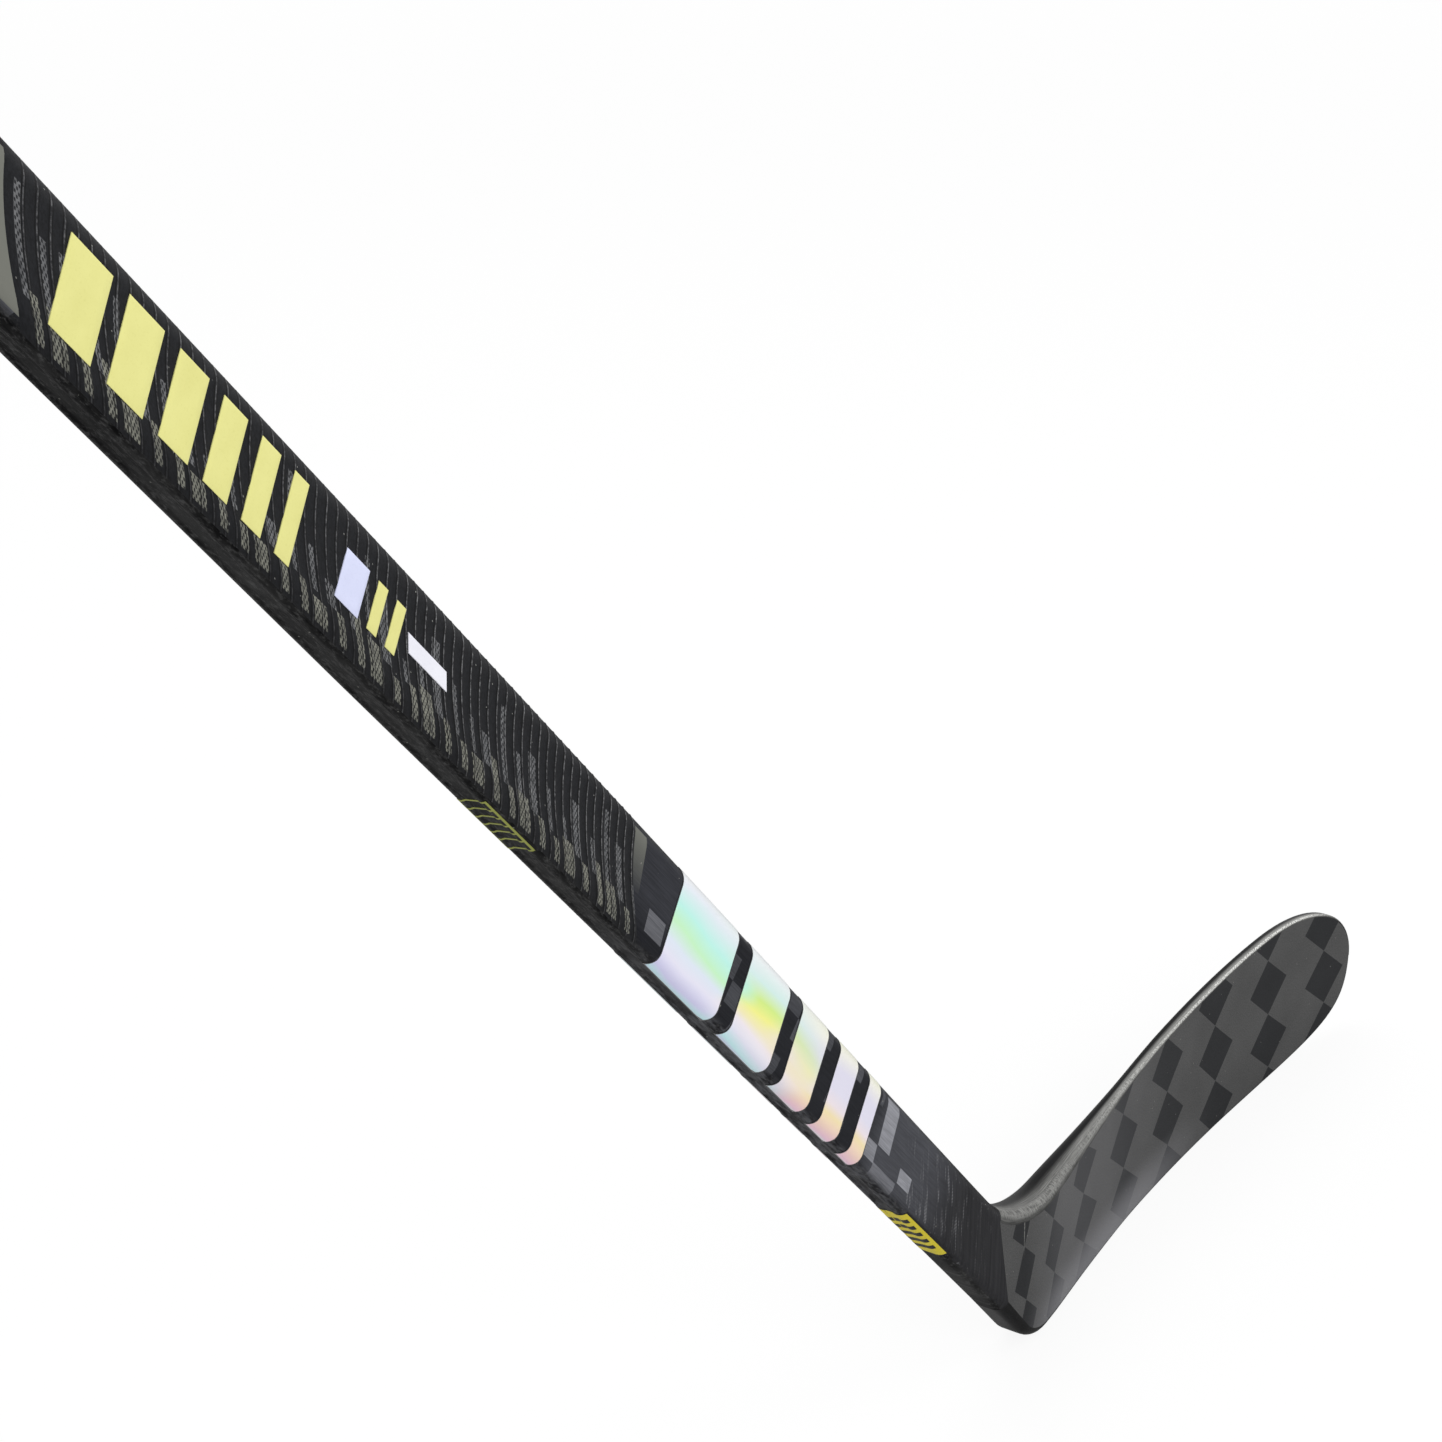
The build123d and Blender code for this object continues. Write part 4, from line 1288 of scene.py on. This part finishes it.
@dataclass
class Tube:
    """The hollow shaft: the outside with dished narrow faces, and a plain bore."""

    wall: float = 2.0
    spacing: float = 12.0
    narrow_steps: int = 10
    corner_steps: int = 6
    wide_steps: int = 12

    def girths(self, station: Array) -> Array:
        """Distances round half a section for each station, dense at the corners."""
        flat, arc, wide = SHAFT.breaks(station)
        ends = np.cumsum(np.stack([np.zeros_like(flat), flat, arc, wide, arc, flat], 1), 1)
        narrow, corner = self.narrow_steps, self.corner_steps
        counts = (narrow, corner, self.wide_steps, corner, narrow)
        parts = []
        for k, steps in enumerate(counts):
            share = np.linspace(0, 1, steps + 1)[None, : steps + (k == 4)]
            parts.append(ends[:, k, None] * (1 - share) + ends[:, k + 1, None] * share)
        return np.concatenate(parts, 1)

    def build(self, material: Material) -> None:
        """Make the tube: outer sections up to the butt, then inner ones back down."""
        count = round((SHAFT.end - SHAFT.foot) / self.spacing)
        station = np.linspace(SHAFT.foot, SHAFT.end, count)
        girth = self.girths(station)
        wide = np.repeat(station[:, None], girth.shape[1], 1)
        front, back = (SHAFT.wrap(wide, girth, 0.0, side) for side in Side)
        outer = np.concatenate([front, back[:, -2:0:-1]], 1)
        both = np.concatenate([girth, girth[:, -2:0:-1]], 1)
        total = both[:, girth.shape[1] - 1, None]
        local = outer - HEEL - np.array([0, SHAFT.middle_y, 0])
        flat, arc, _ = SHAFT.breaks(station)
        turned = (np.minimum(both, total - both) - flat[:, None]) / arc[:, None]
        marks = {
            "place": np.stack([local @ SHAFT.up, local @ SHAFT.across, both], -1),
            "facing": np.clip(turned, 0, 1),
        }
        inner = self.bore(wide, girth)
        points = np.concatenate([outer, inner[::-1]])
        marks = {key: np.concatenate([value, value[::-1]]) for key, value in marks.items()}
        faces = grid_quads(len(points), points.shape[1], ring=True, loop=True)
        piece = build_piece("shaft_tube_skin", points, faces, marks)
        finish_piece(piece, "stick", "shaft_carbon", material, ["shaft_tube"])

    def bore(self, station: Array, girth: Array) -> Array:
        """Inside of the tube: the same sections pushed in by the wall, without the dish."""
        rings = []
        for side in Side:
            flat, arc, wide = SHAFT.breaks(station)
            total = 2 * flat + 2 * arc + wide
            mirrored = girth > total / 2
            near = np.where(mirrored, total - girth, girth)
            angle = np.clip((near - flat) / SHAFT.corner, 0, QUARTER)
            radius = SHAFT.corner - self.wall
            low = (SHAFT.width - SHAFT.breadth(station)) / 2
            height = low + SHAFT.corner - radius * np.cos(angle) + np.maximum(near - flat - arc, 0)
            height = np.where(mirrored, SHAFT.width - height, height)
            depth = np.minimum(near, flat) + radius * np.sin(angle)
            rings.append(SHAFT.place(station, height, depth * side.value))
        return np.concatenate([rings[0], rings[1][:, -2:0:-1]], 1)


@dataclass
class GripCoat:
    """The raised coat on a wide face: leaning, bowed ridges on a thin layer.

    The first ridge starts a lead above the coat's end, and a trough's row of points lies
    between ridges. The sides slope down over the edge, a share of the coat's width.
    """

    start: float = 402.0
    end: float = 735.0
    lean: float = 24.0
    bow: float = 2.5
    pitch: float = 5.4
    body: float = 0.12
    crest: float = 0.2
    crest_width: float = 1.8
    trough: float = 3.4
    lead: float = 0.9
    edge: float = 0.012
    columns: int = 30
    wrap_angle: float = math.radians(38)

    def drift(self, height: Array) -> Array:
        """How far up the shaft a ridge lies at a height: a lean plus a shallow bow."""
        share = (height - 4) / 22
        return self.lean * share + self.bow * (1 - (2 * share - 1) ** 2)

    def build(self, side: Side, material: Material) -> None:
        """Make the coat's grid along the ridges and lift it by its body and crests.

        A crest's height is the sine of its share of the width, to the power 1.5.

        Args:
            side: the wide face that it lies on.
            material: the coat's material.
        """
        offsets = np.array([0.0, 0.25, 0.5, 0.75, 1.0]) * self.crest_width
        count = int((self.end - self.start) / self.pitch)
        spots = np.append(offsets, self.trough)
        run = (self.start + self.lead + self.pitch * np.arange(count)[:, None] + spots[None]).ravel()
        bevel = self.lead / 2
        run = np.concatenate([[self.start, self.start + bevel], run, [self.end - bevel, self.end]])
        mean = np.array([(self.start + self.end) / 2])
        flat, arc, wide = SHAFT.breaks(mean)
        first = flat[0] + SHAFT.corner * self.wrap_angle
        last = flat[0] + 2 * arc[0] + wide[0] - SHAFT.corner * self.wrap_angle
        share = np.linspace(0, 1, self.columns)
        share = np.concatenate([[0, self.edge], share[1:-1], [1 - self.edge, 1]])
        across = first + (last - first) * share
        height = self.height(across)
        station = run[:, None] + self.drift(height)[None]
        girth = across[None] + (SHAFT.half(station) - SHAFT.half(mean))
        inside = (run - self.start - self.lead) % self.pitch
        crest = np.sin(np.clip(inside / self.crest_width, 0, 1) * math.pi) ** 1.5
        strength = np.interp(run, [self.start, 530, 600, self.end], [1.0, 0.9, 0.55, 0.5])
        bump = (crest * strength)[:, None] * np.ones_like(height)[None]
        ends = ease(np.minimum(run - self.start, self.end - run) / 0.5)[:, None]
        sides = ease(np.minimum(share, 1 - share) / self.edge)[None]
        top = (self.body + self.crest * bump) * ends * sides
        place = np.stack(np.broadcast_arrays(run[:, None], height[None], girth), -1)
        # the ridge mark, each crest's profile, places the grip finish's painted highlight and painted shade
        marks = {"place": place, "ridge": np.repeat(crest[:, None], len(height), 1)}
        name = side.name.lower()
        piece = SHAFT.slab(f"grip_coat_skin_{name}", station, girth, top, side, marks)
        finish_piece(piece, "stick", "grip_coat", material, [f"grip_coat_{name}"])

    def height(self, across: Array) -> Array:
        """Height on the wide face, carried on round the corners by the distance walked."""
        mean = np.array([(self.start + self.end) / 2])
        flat, arc, _ = SHAFT.breaks(mean)
        low = (SHAFT.width - SHAFT.breadth(mean)) / 2
        return low[0] + SHAFT.corner + across - flat[0] - arc[0]


@dataclass
class Prints:
    """Inked bars on the coat, foil blocks over the corner, and the marks on the narrow face."""

    ink_top: float = 0.44
    foil_top: float = 0.14
    foil_start: float = 208.0
    foil_widths: tuple[float, ...] = (12.0, 18.0, 25.0, 34.0, 46.0)
    foil_gap: float = 11.0
    foil_high: float = 30.6
    foil_slant: float = 8.0
    name_start: float = 622.0
    name_widths: tuple[float, ...] = (7.0, 9.0, 11.0, 13.0, 15.0, 17.0)
    name_gap: float = 7.0
    mark: tuple[float, float, float, float] = (462.0, 32.0, 12.6, 5.0)
    badge: tuple[float, float, float] = (106.0, 46.0, 15.4)

    def bar(self, name: str, corners: Bar, side: Side) -> Object:
        """One slanted bar on the wide face.

        Args:
            name: the piece's name.
            corners: start, length, low edge, high edge and slant.
            side: the wide face that it lies on.

        Returns:
            The new piece.
        """
        start, length, low, high, slant = corners
        u = np.concatenate([[0.0], np.linspace(0.15 / length, 1 - 0.15 / length, 7), [1.0]])[:, None]
        v = np.concatenate([[0.0], np.linspace(0.02, 0.98, 9), [1.0]])[None]
        station = start + length * u + slant * (v - 0.5)
        height = low + (high - low) * v + 0 * u
        rim = np.minimum(np.minimum(u, 1 - u) * length, np.minimum(v, 1 - v) * (high - low))
        top = np.where(rim > 0.01, self.ink_top, self.ink_top - 0.09)
        marks = {"place": np.stack([station, height, 0 * station], -1)}
        return SHAFT.slab(name, station, SHAFT.face_girth(station, height), top, side, marks)

    def bars(self, side: Side, inks: dict[str, Material]) -> None:
        """All the inked bars of a wide face, one piece per row of the same ink."""
        face = side.name.lower()
        rows = (
            ("name_bars", "yellow_print", self.name_start, self.name_widths, self.name_gap, 6.0, 25.0, 7.0),
            ("white_bar", "white_print", 541.0, (22.0,), 5.0, 13.0, 17.0, 4.0),
            ("yellow_bars", "yellow_print", 568.0, (5.0, 5.0), 5.0, 9.5, 21.0, 4.0),
            ("lavender_bar", "lavender_print", 588.0, (12.0,), 5.0, 9.5, 21.0, 4.0),
        )
        for row, slot, start, widths, gap, low, high, slant in rows:
            pieces = []
            for number, width in enumerate(widths):
                pieces.append(self.bar(f"{row}_{face}_{number}", (start, width, low, high, slant), side))
                start += width + gap
            piece = join_pieces(pieces, f"{row}_ink_{face}")
            finish_piece(piece, "stick", slot, inks[slot], [f"{row}_{face}"])

    def foils(self, side: Side, material: Material) -> None:
        """The five foil blocks of a wide face, each wrapped over the heel-side corner."""
        start = self.foil_start
        for number, width in enumerate(self.foil_widths, 1):
            u = np.concatenate([[0.0], np.linspace(0.5 / width, 1 - 0.5 / width, 14), [1.0]])[:, None]
            v = np.concatenate([[0.0], np.linspace(0.014, 0.986, 40), [1.0]])[None]
            middle = np.array([start + width / 2])
            flat = SHAFT.breaks(middle)[0][0]
            last = SHAFT.face_girth(middle, np.array([self.foil_high]))[0]
            girth = flat + 0.2 + (last - flat - 0.2) * v + 0 * u
            height = girth - SHAFT.face_girth(middle, np.array([0.0]))[0]
            lean = self.foil_slant * (np.maximum(height, 2.0) / self.foil_high - 0.5)
            station = start + width * u + lean
            shift = SHAFT.half(station) - SHAFT.half(middle)
            border = np.minimum(np.minimum(u, 1 - u) * width, np.minimum(v, 1 - v) * (last - flat))
            marks = {"place": np.stack([station, height, girth], -1), "border": border}
            face = side.name.lower()
            piece = SHAFT.slab(f"foil_{number}_{face}", station, girth + shift, self.foil_top, side, marks)
            finish_piece(piece, "stick", "holo_foil", material, [f"foil_block_{number}_{face}"])
            start += width + self.foil_gap

    def patch(self, name: str, corners: Bar, top: float, rows: int = 3) -> Object:
        """A slanted patch on the heel-side narrow face, with girths below 0 on the back.

        Args:
            name: the piece's name.
            corners: start, length, low girth, high girth and slant.
            top: height above the surface.
            rows: rows of points along it.

        Returns:
            The new piece.
        """
        start, length, low, high, slant = corners
        u = np.linspace(0, 1, rows)[:, None]
        v = np.linspace(0, 1, 15)[None]
        across = low + (high - low) * v + 0 * u
        station = start + length * u + slant * (v - 0.5)
        marks = {"place": np.stack([station, across, 0 * station], -1)}
        layers = []
        for lift in (top, SUNK):
            front, back = (SHAFT.wrap(station, np.abs(across), lift, side) for side in Side)
            layers.append(np.where(across[..., None] >= 0, front, back))
        return build_layer(name, *layers, marks)

    def narrow_marks(self, inks: dict[str, Material]) -> None:
        """The lozenge of thin lines, and the badge with its slanted bars."""
        start, length, width, slant = self.mark
        half, line = width / 2, 0.8
        strokes = [
            (start, length, -half, -half + line),
            (start, length, half - line, half),
            (start, line, -half, half),
            (start + length - line, line, -half, half),
        ]
        strokes += [(start + 6 + 5 * k, line, -half, half) for k in range(5)]
        pieces = []
        for number, (at, run, low, high) in enumerate(strokes):
            tilt = slant * (high - low) / width
            shift = slant * ((low + high) / 2) / width
            pieces.append(self.patch(f"mark_{number}", (at + shift, run, low, high, tilt), 0.1))
        piece = join_pieces(pieces, "side_mark_lines")
        finish_piece(piece, "stick", "yellow_print", inks["mark"], ["side_mark"])
        start, length, width = self.badge
        ground = self.patch("badge_ground", (start, length, -width / 2, width / 2, 0.0), 0.08, 9)
        finish_piece(ground, "stick", "badge_yellow", inks["badge_ground"], ["heel_badge"])
        edge, half = 0.7, width / 2
        field_shape = (start + edge, length - 2 * edge, edge - half, half - edge, 0.0)
        inner = self.patch("badge_field", field_shape, 0.11, 9)
        finish_piece(inner, "stick", "badge_yellow", inks["badge_field"])
        shapes = [(start + 6.0 + 7.2 * k, 3.6, -half + 2.2, half - 2.2, 4.5) for k in range(5)]
        bars = [self.patch(f"badge_bar_{k}", shape, 0.14) for k, shape in enumerate(shapes)]
        piece = join_pieces(bars, "badge_bars")
        finish_piece(piece, "stick", "badge_yellow", inks["badge_ground"])

    def build(self, foil: Material, inks: dict[str, Material]) -> None:
        """Make every print on both wide faces and the narrow one."""
        for side in Side:
            self.bars(side, inks)
            self.foils(side, foil)
        self.narrow_marks(inks)


@dataclass
class ButtPlug:
    """The pull-out plug: a ribbed spigot, and a rubber cap with a sunk panel in its end."""

    cap: float = 12.0
    cap_round: float = 3.0
    length: float = 55.0
    clearance: float = 2.1
    wall: float = 1.8
    groove: float = 0.35
    steps: int = 10

    def loop(self, station: Array, inset: Array) -> Array:
        """Closed rounded-rectangle sections: four quarter circles, joined by straight lines.

        Args:
            station: stations of the sections.
            inset: how far each lies inside the shaft's full section.

        Returns:
            Places of each section's points.
        """
        half = SHAFT.thickness / 2 - inset
        tall = SHAFT.width / 2 - inset
        radius = np.maximum(SHAFT.corner - inset, 0.35)
        angle = np.linspace(0, QUARTER, self.steps)
        rows = []
        for quarter in range(4):
            turn = angle + quarter * QUARTER
            sign_h = 1 if quarter in (0, 3) else -1
            sign_y = 1 if quarter in (0, 1) else -1
            over = (sign_h * (tall - radius))[:, None] + radius[:, None] * np.cos(turn)[None]
            out = (sign_y * (half - radius))[:, None] + radius[:, None] * np.sin(turn)[None]
            rows.append(np.stack([over, out], -1))
        flat = np.concatenate(rows, 1)
        at = np.repeat(station[:, None], flat.shape[1], 1)
        return SHAFT.place(at, SHAFT.width / 2 + flat[..., 0], flat[..., 1])

    def build(self, cap: Material, spigot: Material) -> None:
        """Make the cap and the spigot; both slide out together."""
        butt = SHAFT.end
        turn = np.linspace(0, QUARTER, 7)
        outer = [(0.0, 0.35), (0.35, 0.0), (self.cap - self.cap_round, 0.0)]
        rounded = [(self.cap_round * (1 - math.sin(a)), self.cap_round * (1 - math.cos(a))) for a in turn[1:]]
        outer += [(self.cap - drop, inset) for drop, inset in rounded]
        outer += [(self.cap, 4.2), (self.cap - 0.6, 4.8), (self.cap - 0.6, 7.5)]
        profile = np.array(outer)
        points = self.loop(butt + profile[:, 0], profile[:, 1])
        rows, columns = points.shape[:2]
        faces = grid_quads(rows, columns, loop=True) + end_caps(rows, columns)
        piece = build_piece("butt_cap_rubber", points, faces)
        finish_piece(piece, "butt_plug", "cap_rubber", cap, ["butt_cap"])
        ribs = np.linspace(4, self.length - 4, 7)
        cuts = [(rib - 1.6, rib - 1.2, rib + 1.2, rib + 1.6) for rib in ribs]
        cuts = np.concatenate([[0.0, 1.2], *cuts, [self.length, self.length - self.wall, 0.0]])
        insets = [(0.0, self.groove, self.groove, 0.0)] * len(ribs)
        insets = np.concatenate([[0.8, 0.0], *insets, [0.0, self.wall, self.wall]])
        order = self.loop(butt - self.length + cuts, self.clearance + insets)
        rows, columns = order.shape[:2]
        quads = grid_quads(rows, columns, ring=True, loop=True)
        faces = [quad for quad in quads if not self.spans(quad, rows, columns)]
        top = (rows - 3) * columns
        faces.append(list(range(top + columns - 1, top - 1, -1)))
        floor = (rows - 2) * columns
        faces.append(list(range(floor, floor + columns)))
        piece = build_piece("plug_spigot_ribbed", order, faces)
        finish_piece(piece, "butt_plug", "plug_abs", spigot, ["plug_spigot"])

    @staticmethod
    def spans(face: list[int], rows: int, columns: int) -> bool:
        """Whether a quad joins the spigot's closed end to its bore, which stay apart."""
        return {corner // columns for corner in face} == {rows - 3, rows - 2}


@dataclass
class Studio:
    """Plain pale floor and world, soft area lamps, and the camera."""

    azimuth: float = math.radians(33.2002)
    elevation: float = math.radians(23.3969)
    roll: float = math.radians(0.2205)
    camera: tuple[float, float, float] = (-1.10142, -0.50993, 0.73773)
    lens: float = 82.70
    floor_size: float = 12.0
    floor_level: float = -0.0004
    paint: str = "#F4F4F4"
    paint_dip: str = "#F1F1F1"
    bounce: str = "#CCCCCC"
    dim_bounce: str = "#9A9A9A"
    lamps: tuple[tuple[str, tuple[float, float, float], float, float], ...] = (
        ("key", (-1.6, -2.4, 2.2), 1.6, 33.0),
        ("fill", (1.4, -1.6, 1.6), 1.4, 12.0),
        ("top", (0.1, 0.9, 2.2), 1.6, 14.0),
    )
    target: tuple[float, float, float] = (-0.1, 0.0, 0.15)

    def build(self) -> None:
        """Make the floor, world, lamps and camera."""
        self.build_floor()
        self.build_world()
        for name, place, size, power in self.lamps:
            lamp = bpy.data.lights.new(name, "AREA")
            lamp.shape, lamp.size, lamp.energy = "DISK", size, power
            holder = put(name, lamp)
            holder.location = place
            way = Vector(self.target) - Vector(place)
            holder.rotation_euler = way.to_track_quat("-Z", "Y").to_euler()
        self.build_camera()

    def build_floor(self) -> None:
        """Make the pale floor: a shadow catcher for the eye, and a plain gray for what it lights."""
        graph = Graph(bpy.data.materials.new("pale_floor_paint"))
        add = graph.add
        path = add("LightPath").node.outputs
        seen = add("Math:MAXIMUM", path["Is Camera Ray"], path["Is Transmission Ray"])
        coords = add("TexCoord", out="Object")
        grain = add("TexNoise", coords, None, 40.0, 2.0, 0.5)
        paint = add("MapRange", grain, 0.3, 0.7, 0.0, 0.2)
        paint = add("MixRGB", paint, tint(self.paint), tint(self.paint_dip))
        # the light that falls back up on the dark stick, and its dim gloss, come from a mid gray
        bounce = add("MixRGB", path["Is Glossy Ray"], tint(self.bounce), tint(self.dim_bounce))
        paint = add("MixRGB", seen, bounce, paint)
        matte = add("BsdfDiffuse", paint)
        glow = add("Emission", (1.0, 1.0, 1.0, 1.0), 1.0)
        amount = add("Math:MULTIPLY", path["Is Glossy Ray"], 0.12)
        # the floor's far parts fade into the white backdrop
        distance = add("VectorMath:LENGTH", coords, out="Value")
        plain = add("MapRange:SMOOTHSTEP", distance, 1.2, 3.4, 0.9, 1.0)
        amount = add("Math:MAXIMUM", add("Math:MULTIPLY", seen, plain), amount)
        add("OutputMaterial", add("MixShader", amount, matte, glow))
        half = self.floor_size / 2
        mesh = bpy.data.meshes.new("floor")
        corners = [(x * half, y * half, self.floor_level) for x, y in ((-1, -1), (1, -1), (1, 1), (-1, 1))]
        mesh.from_pydata(corners, [], [(0, 1, 2, 3)])
        mesh.materials.append(graph.owner)
        floor = put("floor", mesh)

    def build_world(self) -> None:
        """White for the camera and mirrors, and a plainer level for the light that falls."""
        world = bpy.data.worlds.new("studio")
        bpy.context.scene.world = world
        add = Graph(world).add
        path = add("LightPath").node.outputs
        seen = add("Math:MAXIMUM", path["Is Camera Ray"], path["Is Glossy Ray"])
        seen = add("Math:MAXIMUM", seen, path["Is Transmission Ray"])
        level = add("MapRange", seen, 0.0, 1.0, 0.74, 1.0)
        add("OutputWorld", add("Background", (1.0, 1.0, 1.0, 1.0), level))

    def build_camera(self) -> None:
        """Camera axes from azimuth, elevation and roll, by cross products with the vertical."""
        level, height = math.cos(self.elevation), math.sin(self.elevation)
        back = np.array([-level * math.cos(self.azimuth), -level * math.sin(self.azimuth), height])
        right = np.cross(-back, [0, 0, 1.0])
        right /= np.linalg.norm(right)
        up = np.cross(right, -back)
        c, s = math.cos(self.roll), math.sin(self.roll)
        axes = np.stack([c * right + s * up, -s * right + c * up, back], 1)
        data = bpy.data.cameras.new("camera")
        data.lens = self.lens
        data.sensor_width = 36.0
        data.clip_start, data.clip_end = 0.02, 40.0
        camera = put("camera", data)
        camera.matrix_world = Matrix.Translation(self.camera) @ Matrix(axes.tolist()).to_4x4()
        bpy.context.scene.camera = camera
        bpy.context.scene.view_settings.view_transform = "Standard"


def dress_inner_nodes() -> None:
    """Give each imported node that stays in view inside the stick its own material."""
    foam = MouldedFinish("closed_cell_foam", "#CDBF98", "#B5A67E", 0.9, 0.8, 0.0003).make()
    glue = MouldedFinish("epoxy_adhesive", "#8E7A45", "#7A6738", 4.0, 0.3).make()
    web = MouldedFinish("carbon_web_laminate", "#2A2A2C", "#3A3A3D", 1.5, 0.45).make()
    rubber_foam = MouldedFinish("eva_foam_core", "#2E2E2E", "#3B3B3A", 1.2, 0.8, 0.0003).make()
    materials = {
        "heel_core": foam,
        "blade_lower_core": foam,
        "blade_upper_core": foam,
        "joint_glue": glue,
        "blade_web": web,
        "plug_core": rubber_foam,
    }
    for node, material in materials.items():
        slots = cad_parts[node].data.materials
        slots.clear()
        slots.append(material)
        LOG.info("%s keeps its packed shape, in %s", node, material.name)


def main() -> None:
    """Build the stick piece by piece, then the studio around it."""
    logging.basicConfig(level=logging.INFO, format="%(name)s: %(message)s")
    shaft_carbon = CarbonFinish("shaft_spread_tow_carbon").make()
    hosel_carbon = CarbonFinish("hosel_unidirectional_carbon").make()
    Tube().build(shaft_carbon)
    LowerBody().build(hosel_carbon, EdgeFinish().make(), FabricFinish().make())
    grip = GripFinish().make()
    for side in Side:
        GripCoat().build(side, grip)
    inks = {
        "yellow_print": InkFinish("pale_yellow_ink", "#E6E394", "#D6D280").make(),
        "white_print": InkFinish("cool_white_ink", "#F0F0F8", "#DCDCE6").make(),
        "lavender_print": InkFinish("lavender_ink", "#DCE0FA", "#C8CCEA").make(),
        "mark": InkFinish("olive_yellow_line_ink", "#9BA04C", "#7E8340").make(),
        "badge_field": InkFinish("signal_yellow_ink", "#DCCB2E", "#C4B224").make(),
        "badge_ground": InkFinish("black_ink", "#121213", "#1C1C1E").make(),
    }
    Prints().build(FoilFinish().make(), inks)
    rubber = MouldedFinish("moulded_rubber", "#1B1B1B", "#262626", 0.7, 0.62, 0.0002).make()
    plastic = MouldedFinish("moulded_abs", "#242425", "#2E2E30", 1.2, 0.42).make()
    ButtPlug().build(rubber, plastic)
    dress_inner_nodes()
    Studio().build()
    bpy.context.view_layer.update()


if __name__ == "__main__":
    main()
